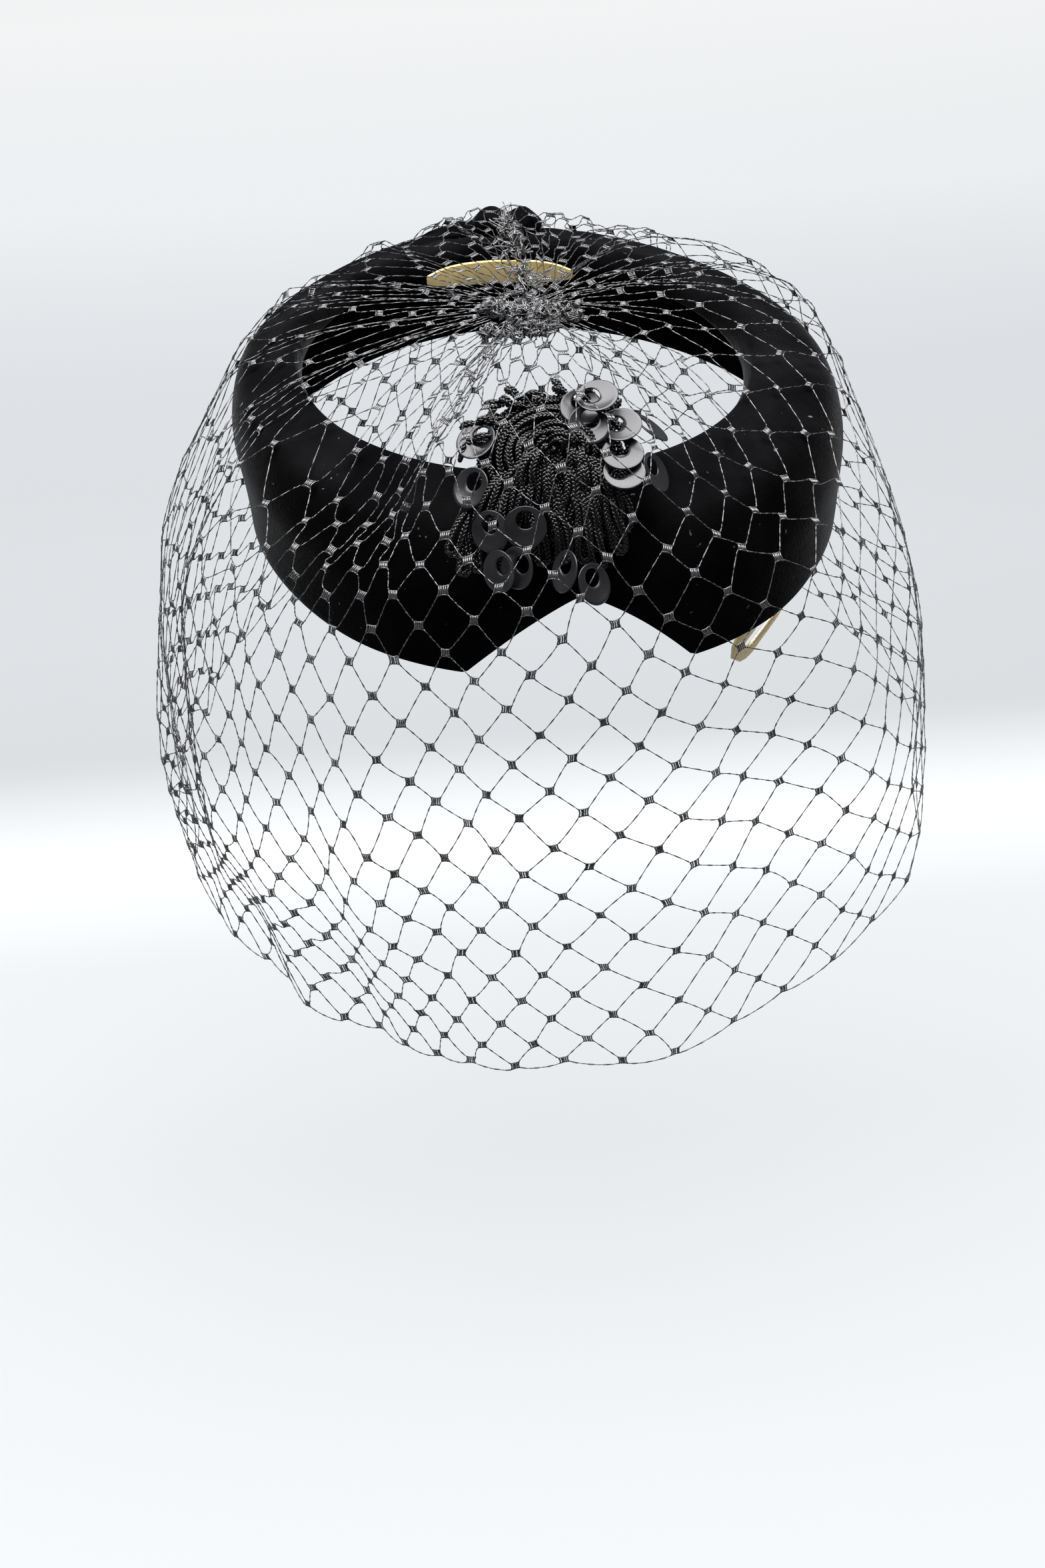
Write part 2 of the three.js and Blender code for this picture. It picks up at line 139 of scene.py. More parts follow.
def smoothstep(x, low, high):
    """A smooth rise from 0 at low to 1 at high."""
    t = np.clip((x - low) / (high - low), 0, 1)
    return t * t * (3 - 2 * t)


def hump(x, middle, reach, power=2):
    """A smooth hump of height 1 about a middle, with a flatter top at a higher power."""
    return np.exp(-((x - middle) / reach) ** power)


def turn_of(phi):
    """The turn from centre front in degrees, from 0 to 180."""
    return np.abs((np.degrees(phi) + 540) % 360 - 180)


def oval(shape, phi):
    """A point of an oval at this turn, seen from above."""
    x = shape["x"] + shape["half_width"] * np.sin(phi)
    y = shape["y"] - shape["half_length"] * np.cos(phi)
    return np.stack([x, y], -1)


def worn(points):
    """Points of the ring's own frame, tilted as the hat is worn."""
    c, s = math.cos(RING_TILT), math.sin(RING_TILT)
    x, y, z = np.moveaxis(points, -1, 0)
    return np.stack([x, y * c - z * s, y * s + z * c], -1)


# ------------------------------------------------------------------ the band of the ring

def plain_foot(phi):
    """The level of the lower edge without its notch."""
    return read(BAND, "foot", turn_of(phi)) + LOBE_SKEW * np.sin(phi)


def foot_level(phi):
    """The level of the lower edge, which rises to the point of the heart in front."""
    turn = turn_of(phi)
    lobe = plain_foot(np.sign(np.sin(phi)) * math.radians(LOBE_TURN))
    rise = np.clip(turn / LOBE_TURN, 0, 1) ** NOTCH_SHARPNESS
    notch = NOTCH_LEVEL * (1 - rise) + lobe * rise
    return np.where(turn < LOBE_TURN, notch, plain_foot(phi))


def band_controls(phi):
    """The section of the band at each turn, as (distance out, level) points."""
    turn = turn_of(phi)
    width = np.linalg.norm(oval(OUTSIDE, phi) - oval(OPENING, phi), axis=-1)
    crest, shoulder, widest, foot, tuck = (
        read(BAND, name, turn) for name in ("crest", "shoulder", "widest", "foot", "tuck"))
    rows = [
        (0 * width, crest - LIP_DEPTH),
        (0.02 * width, crest - 0.43 * LIP_DEPTH),
        (0.14 * width, crest),
        (0.5 * width, 0.5 * crest + 0.45 * shoulder),
        (0.86 * width, shoulder),
        (width, widest),
        (width - 0.5 * tuck, 0.45 * widest + 0.55 * foot),
        (width - tuck, foot - 2 * LOBE_SKEW),
    ]
    return np.stack([np.stack(row, -1) for row in rows], -2)


def band_points(phi, t, offset):
    """Points of the band's outer face at turns (n) and places t (n, k) along its section."""
    controls = band_controls(phi)
    step = 1e-3
    p = spline(controls, t)
    ahead = spline(controls, np.clip(t + step, 0, 1))
    behind = spline(controls, np.clip(t - step, 0, 1))
    along = unit(ahead - behind)
    out = p[..., 0] - offset * along[..., 1]
    level = p[..., 1] + offset * along[..., 0]
    inner = oval(OPENING, phi)
    outward = unit(oval(OUTSIDE, phi) - inner)
    lean = SIDE_LEAN * smoothstep(-level, 15, 50)
    x = inner[:, None, 0] + outward[:, None, 0] * out + lean
    y = inner[:, None, 1] + outward[:, None, 1] * out
    return np.stack([x, y, level], -1)


def band_end(phi):
    """Where the band's section comes down to its lower edge, from 0 to 1."""
    controls = band_controls(phi)
    foot = foot_level(phi)
    low, high = np.full(len(phi), 0.5), np.ones(len(phi))
    for _ in range(24):
        middle = (low + high) / 2
        above = spline(controls, middle[:, None])[:, 0, 1] > foot
        low, high = np.where(above, middle, low), np.where(above, high, middle)
    return low


# ------------------------------------------------------------------ meshes

def add_mesh(name, points, faces, material, replaces=()):
    """Makes a smooth-shaded piece of the hat from points in millimetres."""
    mesh = bpy.data.meshes.new(name)
    mesh.from_pydata((np.asarray(points).reshape(-1, 3) * MM).tolist(), [], faces)
    mesh.shade_smooth()
    mesh.materials.append(material)
    piece = bpy.data.objects.new(name, mesh)
    bpy.context.scene.collection.objects.link(piece)
    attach(piece, BODY)
    if replaces:
        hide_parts(*replaces)
    return piece


def grid_faces(rows, columns, wrap_rows=False, wrap_columns=False, first=0):
    """Quads of a grid of points, which may close on itself either way."""
    r = np.arange(rows if wrap_rows else rows - 1)
    c = np.arange(columns if wrap_columns else columns - 1)
    r, c = np.meshgrid(r, c, indexing="ij")
    r2, c2 = (r + 1) % rows, (c + 1) % columns
    quads = np.stack([r * columns + c, r * columns + c2, r2 * columns + c2, r2 * columns + c], -1)
    return (quads.reshape(-1, 4) + first).tolist()


def sweep(paths, normals, widths, heights, sides, turn=0.0):
    """Closed tubes along many paths of one length at once.

    paths and normals are (n, m, 3); widths and heights are half sizes that broadcast to
    (n, m); turn twists the section along the way. Gives points and faces.
    """
    n, m, _ = paths.shape
    tangents = unit(np.gradient(paths, axis=1))
    up = unit(normals - tangents * np.sum(normals * tangents, -1, keepdims=True))
    side = np.cross(tangents, up)
    ring = 2 * np.pi * np.arange(sides) / sides
    spin = np.broadcast_to(turn, (n, m))[..., None]
    flat_x = np.broadcast_to(widths, (n, m))[..., None] * np.cos(ring)
    flat_y = np.broadcast_to(heights, (n, m))[..., None] * np.sin(ring)
    x = flat_x * np.cos(spin) - flat_y * np.sin(spin)
    y = flat_x * np.sin(spin) + flat_y * np.cos(spin)
    points = paths[:, :, None] + side[:, :, None] * x[..., None] + up[:, :, None] * y[..., None]
    body = np.array(grid_faces(m, sides, wrap_columns=True))
    firsts = np.arange(n)[:, None, None] * (m * sides)
    faces = (body[None] + firsts).reshape(-1, 4).tolist()
    cap = np.arange(sides)
    starts = (cap[::-1][None] + firsts[:, 0]).tolist()
    ends = (cap[None] + (m - 1) * sides + firsts[:, 0]).tolist()
    return points.reshape(-1, 3), faces + starts + ends


def join(parts):
    """Puts (points, faces) parts together as one."""
    points, faces, first = [], [], 0
    for part_points, part_faces in parts:
        points.append(part_points)
        faces += [[i + first for i in face] for face in part_faces]
        first += len(part_points)
    return np.concatenate(points), faces


# ------------------------------------------------------------------ shader maths

class Socket:
    """An output of a shader node, so that maths on it reads as Python."""

    def __init__(self, tree, output):
        self.tree = tree
        self.output = output

    def _math(self, operation, *values):
        return self.tree.node("Math", {"operation": operation}, list(values))["Value"]

    def __add__(self, other):
        return self._math("ADD", self, other)

    def __sub__(self, other):
        return self._math("SUBTRACT", self, other)

    def __rsub__(self, other):
        return self._math("SUBTRACT", other, self)

    def __mul__(self, other):
        return self._math("MULTIPLY", self, other)

    __radd__ = __add__
    __rmul__ = __mul__

    def ramp(self, low, high, fit="SMOOTHSTEP"):
        """0 below low and 1 above high, or the other way round where low is higher."""
        fit = {"interpolation_type": fit}
        inputs = {"Value": self, "From Min": low, "From Max": high}
        return self.tree.node("MapRange", fit, inputs)["Result"]


# Socket names that a setting's own name doesn't give.
SOCKETS = {"specular_ior_level": "Specular IOR Level", "coat_ior": "Coat IOR"}


class Tree:
    """A material's node tree with one Principled shader, made from plain calls."""

    def __init__(self, name, **shader):
        self.material = bpy.data.materials.new(name)
        self.material.use_nodes = True
        self.nodes = self.material.node_tree.nodes
        self.links = self.material.node_tree.links
        self.shader = self.nodes["Principled BSDF"]
        for key, value in shader.items():
            self.put(self.shader.inputs[SOCKETS.get(key) or key.replace("_", " ").title()], value)

    def put(self, socket, value):
        """Sets a socket, or links it where the value is another node's output."""
        if isinstance(value, Socket):
            self.links.new(value.output, socket)
        elif getattr(socket, "type", "") == "RGBA" and len(value) == 3:
            socket.default_value = (*value, 1)
        else:
            socket.default_value = value

    def node(self, kind, settings=None, inputs=None):
        """Adds a node: its settings are set first, then its sockets by name or order."""
        node = self.nodes.new("ShaderNode" + kind)
        for key, value in (settings or {}).items():
            if key == "stops":
                self.stops(node, value)
            else:
                setattr(node, key, value)
        pairs = inputs.items() if isinstance(inputs, dict) else enumerate(inputs or [])
        for key, value in pairs:
            self.put(node.inputs[key], value)
        return {output.name: Socket(self, output) for output in node.outputs if output.enabled}

    def stops(self, node, stops):
        """Sets a colour ramp's stops, each a place and a colour."""
        elements = node.color_ramp.elements
        while len(elements) < len(stops):
            elements.new(1.0)
        for element, (place, colour) in zip(elements, stops):
            element.position = place
            element.color = (*colour, 1)

    def place(self):
        """The surface's own place, in metres."""
        return self.node("TexCoord")["Object"]

    def noise(self, scale, detail=2.0, roughness=0.5):
        """Even noise from 0 to 1."""
        inputs = {"Vector": self.place(), "Scale": scale, "Detail": detail,
                  "Roughness": roughness}
        node = self.node("TexNoise", {"noise_dimensions": "3D"}, inputs)
        return node.get("Fac") or node["Factor"]

    def mix(self, factor, first, second):
        """A colour between two colours."""
        node = self.nodes.new("ShaderNodeMix")
        node.data_type = "RGBA"
        self.put(node.inputs["Factor"], factor)
        self.put(node.inputs[6], first)
        self.put(node.inputs[7], second)
        return Socket(self, node.outputs[2])

    def bump(self, height, distance, strength=1.0):
        """Feeds a height, in metres when multiplied by distance, to the shader's normal."""
        inputs = {"Height": height, "Distance": distance, "Strength": strength}
        self.feed(Normal=self.node("Bump", {}, inputs)["Normal"])

    def feed(self, **inputs):
        """Links varying values to the shader's sockets."""
        for key, value in inputs.items():
            self.put(self.shader.inputs[key.replace("_", " ")], value)


def scaled(colour, share):
    """A darker or paler colour."""
    return tuple(share * part for part in colour)


def velvet_material(look):
    """Deep matt pile that greys where it turns away, with a little lint."""
    tree = Tree("velvet", roughness=1.0, specular_ior_level=0.0, sheen_weight=look.sheen,
                sheen_roughness=look.sheen_spread, sheen_tint=tuple(look.sheen_tint))
    pile = tree.noise(1100, 3, 0.6)
    nap = tree.noise(38, 3, 0.55)
    lint = tree.noise(650, 0, 0.5).ramp(0.80, 0.84) * tree.noise(70, 1).ramp(0.5, 0.62)
    dark = tuple(look.colour)
    worn_nap = tuple(0.0006 + part for part in scaled(dark, 1.8))
    cloth = tree.mix(nap.ramp(0.35, 0.75), dark, worn_nap)
    tree.feed(**{"Base Color": tree.mix(lint * 0.12, cloth, (0.3, 0.3, 0.3))})
    tree.bump(pile * 0.6 + nap * 0.9, 0.0006, 0.7)
    return tree.material


def cord_material(look):
    """Lustrous plaited rayon."""
    tree = Tree("cord", specular_ior_level=look.gloss)
    fibre = tree.noise(900, 2, 0.6)
    tint = tree.mix(tree.noise(120, 1), tuple(look.colour), scaled(look.colour, 1.8))
    tree.feed(**{"Base Color": tint, "Roughness": fibre * 0.2 + 0.16})
    tree.bump(fibre, 0.00012, 0.5)
    return tree.material


def disc_material(look):
    """Satin plastic with fine scuffs."""
    tree = Tree("paillette", specular_ior_level=0.13, metallic=look.metal, coat_weight=0.1,
                coat_roughness=0.16, coat_ior=1.6)
    scuff = tree.noise(60, 4, 0.65)
    rough = scuff.ramp(0.35, 0.75) * 0.14 + look.roughness
    tint = tree.mix(scuff.ramp(0.4, 0.8), tuple(look.colour), scaled(look.colour, 1.25))
    tree.feed(**{"Base Color": tint, "Roughness": rough})
    tree.bump(tree.noise(260, 2, 0.5), 0.00004, 0.5)
    return tree.material


def bead_material():
    """Clear glass of a seed bead."""
    tree = Tree("seed_bead", roughness=0.05, transmission_weight=0.85)
    clear = tree.mix(tree.noise(900, 1).ramp(0.4, 0.7), (0.85, 0.86, 0.88), (0.95, 0.95, 0.95))
    tree.feed(**{"Base Color": clear})
    return tree.material


def grip_material(look):
    """Clear plastic that has yellowed, a little darker in cloudy patches."""
    tree = Tree("grip_plastic", specular_ior_level=0.5, transmission_weight=look.clearness,
                coat_weight=0.3)
    cloud = tree.noise(55, 3, 0.55)
    tint = tree.mix(cloud.ramp(0.35, 0.7), tuple(look.colour), scaled(look.colour, 0.62))
    tree.feed(**{"Base Color": tint, "Roughness": cloud * 0.18 + 0.16})
    tree.bump(tree.noise(120, 2), 0.0001, 0.4)
    return tree.material


def net_material(look):
    """Fine hard-twisted thread with a silky glint."""
    tree = Tree("veil_net", specular_ior_level=0.36, coat_weight=look.glint, coat_roughness=0.22,
                sheen_weight=0.03, sheen_roughness=0.35)
    shade = tree.noise(300, 2, 0.6)
    tint = tree.mix(shade.ramp(0.35, 0.7), tuple(look.colour), scaled(look.colour, 1.6))
    tree.feed(**{"Base Color": tint, "Roughness": shade * 0.2 + 0.2})
    tree.bump(tree.noise(2200, 1), 0.0001, 0.6)
    return tree.material


# Painted light and shade of the floor, from in front of the hat to far behind it: bands that stand
# in for how a lit backdrop greys and pales.
FLOOR_PAINTED_LIGHT_TONES = [
    (0.0, (0.74, 0.76, 0.775)),
    (0.205, (0.735, 0.755, 0.77)),
    (0.256, (0.693, 0.718, 0.735)),
    (0.29, (0.70, 0.725, 0.745)),
    (0.312, (0.84, 0.865, 0.885)),
    (0.338, (0.567, 0.585, 0.605)),
    (0.395, (0.606, 0.63, 0.652)),
    (0.433, (0.616, 0.64, 0.662)),
    (0.479, (0.648, 0.67, 0.695)),
    (0.535, (0.728, 0.75, 0.775)),
    (0.604, (0.842, 0.865, 0.885)),
    (0.815, (0.97, 0.985, 0.99)),
]


def stage_material():
    """A pale floor that glows with painted light, in painted bands of shade that grey it a little
    behind the hat and pale it again further off.
    """
    tree = Tree("pale_glowing_stage", roughness=0.9, specular_ior_level=0.1, emission_strength=1.15)
    away = tree.node("SeparateXYZ", {}, [tree.place()])["Y"]
    painted_tone = tree.node("ValToRGB", {"stops": FLOOR_PAINTED_LIGHT_TONES}, [away.ramp(-1.0, 3.0, "LINEAR")])["Color"]
    # The floor glows though it is no lamp: painted light in the painted tones, which also lights
    # the hat from below.
    painted_glow = tree.mix(0.75, (0.0, 0.0, 0.0), painted_tone)
    # The paper's own colour takes a faint share of the same painted light and shade.
    paper = tree.mix(0.058, (0.0, 0.0, 0.0), painted_tone)
    tree.feed(**{"Base Color": paper, "Emission Color": painted_glow})
    return tree.material


# ------------------------------------------------------------------ velvet pieces

def rolled_edge(phi, t, angles):
    """Points round a rolled edge of the band, from one of its faces to the other."""
    edge = np.ones((len(phi), 1))
    rows = []
    for angle in angles:
        inset = -RING_WALL * (0.5 - 0.5 * math.cos(angle)) * edge
        drop = np.array([0, 0, 0.5 * RING_WALL * math.sin(angle)])
        rows.append(band_points(phi, t, inset)[:, 0] - drop)
    return np.stack(rows, 1)


def ring_mesh(look):
    """The band with its rolled lip, as one fine closed skin with soft dents."""
    around, down, back_down = 360, 46, 26
    roll = (math.pi / 4, math.pi / 2, 3 * math.pi / 4)
    phi = np.arange(around) * 2 * np.pi / around
    end = band_end(phi)
    t_out = end[:, None] * np.linspace(0, 1, down) ** 0.9
    t_in = end[:, None] * np.linspace(1, 0, back_down)
    dent = look.dent * soft_dents(phi[:, None], t_out)
    outer = band_points(phi, t_out, dent)
    inner = band_points(phi, t_in, -RING_WALL)
    foot = rolled_edge(phi, end[:, None], roll)
    lip = rolled_edge(phi, 0 * end[:, None], roll[::-1])
    points = worn(np.concatenate([outer, foot, inner, lip], 1))
    return points, grid_faces(around, points.shape[1], wrap_rows=True, wrap_columns=True)


def soft_dents(phi, t):
    """How far the velvet swells out and in, with fine gathers beside the back knot."""
    slow = np.sin(3 * phi + 0.7) * np.sin(5 * t + 0.4)
    slow = slow + 0.6 * np.sin(7 * phi - 1.1) * np.cos(6 * t)
    gathers = hump(turn_of(phi), 180, 26) * np.sin(46 * phi + 9 * t)
    return 0.5 * slow + 0.9 * gathers * hump(t, 0.35, 0.2)


# The pouches of the back knot: middle, half size, folds, their depth, spin and tilt. They are
# two puffs over a wrap, its end beneath, and a twisted tail to one side.
KNOT_FOLDS = [
    ((-3.0, 101, 2.0), (8.0, 7.5, 6.0), 5, 0.16, 1.2, 0.1),
    ((8.5, 101, 1.5), (7.0, 6.5, 5.6), 4, 0.16, 1.9, -0.1),
    ((3.0, 97, 0.5), (10.0, 5.5, 5.0), 6, 0.2, 1.5, 0.0),
    ((2.0, 88, -1.5), (9.0, 7.0, 4.4), 6, 0.2, 1.5, 0.0),
    ((-17.0, 98.5, -1.0), (14.0, 6.0, 4.4), 5, 0.24, 0.28, -0.14),
    ((-26.0, 94.5, -2.2), (12.0, 5.0, 3.6), 4, 0.22, 0.34, -0.16),
]


def fold_lobe(centre, size, folds, depth, spin, tilt):
    """A soft pouch of cloth with folds running along it."""
    rows, columns = 40, 64
    a = np.linspace(0, np.pi, rows)[1:-1, None]
    b = np.linspace(0, 2 * np.pi, columns, endpoint=False)[None]
    crease = 1 - depth * np.abs(np.sin(folds * b / 2 + 1.3 * np.cos(a))) ** 0.6 * np.sin(a)
    x = -np.cos(a) * np.ones_like(b)
    y = np.sin(a) ** 0.8 * np.cos(b) * crease
    z = np.sin(a) ** 0.8 * np.sin(b) * crease
    points = np.stack([x, y, z], -1).reshape(-1, 3) * np.array(size)
    turn = Matrix.Rotation(spin, 3, "Z") @ Matrix.Rotation(tilt, 3, "Y")
    points = points @ np.array(turn).T + np.array(centre)
    body = grid_faces(rows - 2, columns, wrap_columns=True)
    ends = [list(range(columns))[::-1], [(rows - 3) * columns + k for k in range(columns)]]
    return points, body + ends


def soften(piece, voxel, rounds):
    """Fuses a piece's parts into one skin and smooths it."""
    remesh = piece.modifiers.new("fuse", "REMESH")
    remesh.mode = "VOXEL"
    remesh.voxel_size = voxel * MM
    relax = piece.modifiers.new("relax", "SMOOTH")
    relax.factor = 0.5
    relax.iterations = rounds
    apply_modifiers(piece)
    piece.data.shade_smooth()


def apply_modifiers(piece):
    """Bakes a piece's modifiers into its mesh."""
    graph = bpy.context.evaluated_depsgraph_get()
    shaped = bpy.data.meshes.new_from_object(piece.evaluated_get(graph))
    piece.modifiers.clear()
    piece.data = shaped


# ------------------------------------------------------------------ looped cord

def dome_to_world(points):
    """Points of the trim's frame (across, up the dome, out) as worn."""
    c, s = math.cos(TRIM_SLOPE), math.sin(TRIM_SLOPE)
    x, y, z = np.moveaxis(points, -1, 0)
    ring = np.stack([x + TRIM["x"], y * c - z * s + TRIM["y"], y * s + z * c + TRIM["z"]], -1)
    return worn(ring)


def core_height(x, y, sink):
    """The height of the dome at a place, less how far it is sunk."""
    inside = 1 - (x / (TRIM["half_width"] - 2)) ** 2 - (y / (TRIM["half_length"] - 2)) ** 2
    return (TRIM["rise"] - sink) * np.sqrt(np.maximum(inside, 0.02))


def cord_loop(anchor, heading, length, lift, arch, spread, sway):
    """The middle line of one loop of cord, out from its anchor and back."""
    half = spread / 2
    straight = np.linspace(0, 1, 24)
    out_arm = np.stack([straight * (length - half), -half * straight ** 0.4], -1)
    bend = np.linspace(-np.pi / 2, np.pi / 2, 14)[1:-1]
    tip = np.stack([length - half + half * np.cos(bend), half * np.sin(bend)], -1)
    back_arm = out_arm[::-1] * np.array([1, -1])
    flat = np.concatenate([out_arm, tip, back_arm])
    progress = flat[:, 0] / length
    aside = flat[:, 1] + sway * np.sin(np.pi * progress)
    direction = np.array([math.cos(heading), math.sin(heading)])
    across = np.array([-direction[1], direction[0]])
    place = np.array(anchor) + flat[:, :1] * direction + aside[:, None] * across
    height = core_height(place[:, 0], place[:, 1], LOOP_SINK) + lift * (1 - 0.75 * progress ** 2)
    height += arch * np.sin(np.pi * progress ** 0.75)
    return np.concatenate([place, height[:, None]], 1)


def bent_loop(reach, start, end, lift, width):
    """A loop of cord bent round below the crown of the trim, from one bearing to another."""
    middle = (TRIM_CROWN[0], TRIM_CROWN[1] - 4)
    t = np.linspace(0, 1, 30)
    bearing = np.radians(start + (end - start) * t)
    parts = []
    for shift, way in ((width / 2, 1), (-width / 2, -1)):
        x = middle[0] + (reach + shift) * 1.08 * np.cos(bearing)
        y = middle[1] + (reach + shift) * 0.95 * np.sin(bearing)
        height = core_height(x, y, LOOP_SINK) + lift * (0.4 + 0.6 * np.sin(np.pi * t) ** 0.6)
        parts.append(np.stack([x, y, height], -1)[::way])
    return np.concatenate([parts[0][:-1], (parts[0][-1:] + parts[1][:1]) / 2, parts[1][1:]])


def crest_curl(bearing, inset, radius, lift, twist):
    """A small loop of cord that stands up at the upper edge of the trim."""
    crest = np.array([22.0, 16.0])
    turn = np.linspace(-0.4, 1.4, 26) * np.pi
    outward = np.array([math.cos(bearing), math.sin(bearing)])
    aside = np.array([-outward[1], outward[0]])
    base = np.array(TRIM_CROWN) + outward * (crest - inset)
    spread = np.sin(turn) * math.cos(twist) + (turn / np.pi - 0.5) * 0.5
    flat = base + radius * (np.outer(1 + np.sin(turn) * math.sin(twist), outward)
                            + np.outer(spread, aside))
    height = core_height(base[0], base[1], LOOP_SINK) + lift - radius * np.cos(turn)
    return np.concatenate([flat, height[:, None]], 1)


def even(path, step):
    """A path resampled at even steps."""
    lengths = np.concatenate([[0], np.cumsum(np.linalg.norm(np.diff(path, axis=0), axis=1))])
    count = max(int(lengths[-1] / step), 8)
    at = np.linspace(0, lengths[-1], count)
    return np.stack([np.interp(at, lengths, path[:, k]) for k in range(3)], -1)


def plait(path, normals, look):
    """Three strands plaited along a path."""
    tangents = unit(np.gradient(path, axis=0))
    up = unit(normals - tangents * np.sum(normals * tangents, -1, keepdims=True))
    side = np.cross(tangents, up)
    along = np.arange(len(path)) * look.step
    phase = 2 * np.pi * (along / look.pitch)[None] + 2 * np.pi * np.arange(3)[:, None] / 3
    reach = look.width / 2 - look.strand
    weave = 0.42 * reach
    strands = (path[None] + reach * np.sin(phase)[..., None] * side[None]
               + weave * np.sin(2 * phase)[..., None] * up[None])
    return sweep(strands, np.broadcast_to(up, strands.shape), look.strand, look.strand, sides=5)


# Layers of loops that hang down the trim: where they start, how far they go to either side, how
# many, how long and how high they lie, and how far they fan out in degrees.
FRINGE = [
    {"x": -4, "y": 6, "half": 10, "count": 8, "length": 13, "lift": 6.6, "fan": 34},
    {"x": -5, "y": 3, "half": 15, "count": 11, "length": 17, "lift": 5.0, "fan": 26},
    {"x": -7.5, "y": -3, "half": 21, "count": 15, "length": 17, "lift": 3.4, "fan": 14},
    {"x": -8.5, "y": -9, "half": 21, "count": 14, "length": 15, "lift": 1.8, "fan": 8},
]
# Loops bent round the crown: how far out, how many and how high.
BENT_ROWS = [
    {"reach": 2.5, "count": 2, "lift": 8.6},
    {"reach": 6, "count": 4, "lift": 7.6},
    {"reach": 10, "count": 5, "lift": 6.6},
    {"reach": 14, "count": 6, "lift": 5.2},
    {"reach": 18, "count": 7, "lift": 3.8},
]
# Small loops that stand up at the upper edge.
CURLS = 20
CORD_PIECES = ["cord_loops_left", "cord_loops_middle", "cord_loops_right"]


def trim_loops(look):
    """The loops of the trim, as middle lines in the trim's own frame."""
    rng = np.random.default_rng(look.seed)
    loops = []
    for row in FRINGE:
        for u in np.linspace(-1, 1, row["count"]):
            u = u + rng.normal(0, 0.04)
            anchor = (row["x"] + row["half"] * u, row["y"] - 4 * u * u)
            heading = math.radians(-90 + row["fan"] * u + rng.normal(0, 9))
            length = row["length"] * (1 - 0.2 * u * u) * rng.uniform(0.72, 1.15)
            lift = row["lift"] + rng.uniform(-1.2, 1.2)
            loops.append(cord_loop(anchor, heading, length, lift, rng.uniform(0.6, 3.0),
                                   look.width + rng.uniform(0.0, 1.6), rng.normal(0, 1.6)))
    for row in BENT_ROWS:
        for k in range(row["count"]):
            start = 222 - 262 * k / row["count"] + rng.normal(0, 10)
            reach = row["reach"] + rng.normal(0, 1.1)
            loops.append(bent_loop(reach, start, start - rng.uniform(70, 115),
                                   row["lift"] + rng.uniform(-1.5, 1.5), look.width + 0.1))
    for k in range(CURLS):
        bearing = math.radians(172 - 140 * k / (CURLS - 1) + rng.normal(0, 3))
        loops.append(crest_curl(bearing, 5.0 * (k % 3) / 2, rng.uniform(2.2, 3.2),
                                rng.uniform(1.5, 4.5), rng.uniform(0, 1.5)))
    return loops


def cord_meshes(look):
    """The loops as plaited cord, in as many meshes as there are cord pieces."""
    parts = [[] for _ in CORD_PIECES]
    below = dome_to_world(np.array([0.0, 0.0, -14.0]))
    for number, loop in enumerate(trim_loops(look)):
        path = dome_to_world(even(loop, look.step))
        parts[number % len(parts)].append(plait(path, unit(path - below), look))
    return [join(part) for part in parts]


def bed_mesh():
    """The bed that the loops are sewn to: a low dome just above the velvet."""
    rows, columns = 18, 40
    half_width, half_length = 20, 23
    r = np.linspace(0.04, 1, rows)[:, None]
    b = np.linspace(0, 2 * np.pi, columns, endpoint=False)[None]
    x = TRIM_CROWN[0] + half_width * r * np.cos(b)
    y = half_length * r * np.sin(b)
    lumps = 0.6 * np.sin(5 * b + 9 * r)
    top = np.stack([x, y, core_height(x, y, 8.5) + lumps], -1)
    under = np.stack([x, y, core_height(x, y, 10.5) - 1.5 - 0 * b], -1)[::-1]
    points = np.concatenate([top, under])
    faces = grid_faces(2 * rows, columns, wrap_columns=True)
    faces += [list(range(columns))[::-1], [(2 * rows - 1) * columns + k for k in range(columns)]]
    return dome_to_world(points.reshape(-1, 3)), faces


# ------------------------------------------------------------------ paillettes

# Where clear beads are sewn to the trim, in its own frame.
BEADS = [(3.9, 22.8), (-18.3, 18.6), (1.0, 20.5)]


def disc_place(node):
    """A disc's middle, its normal, the way from its middle to its hole, and its radius."""
    vertices = np.array([tuple(v.co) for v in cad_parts[node].data.vertices]) / MM
    vertices = np.unique(vertices.round(4), axis=0)
    mean = vertices.mean(0)
    axes = np.linalg.svd(vertices - mean)[2]
    spread = (vertices - mean) @ axes.T
    low, high = spread.min(0), spread.max(0)
    middle = mean + (low + high) / 2 @ axes
    radius = (high - low)[:2].max() / 2
    normal = axes[2]
    below = dome_to_world(np.array([0.0, 0.0, -20.0]))
    if normal @ (middle - below) < 0:
        normal = -normal
    near = vertices[np.linalg.norm(vertices - middle, axis=1) < 0.86 * radius]
    hole = near.mean(0) - middle
    return middle, normal, hole, radius


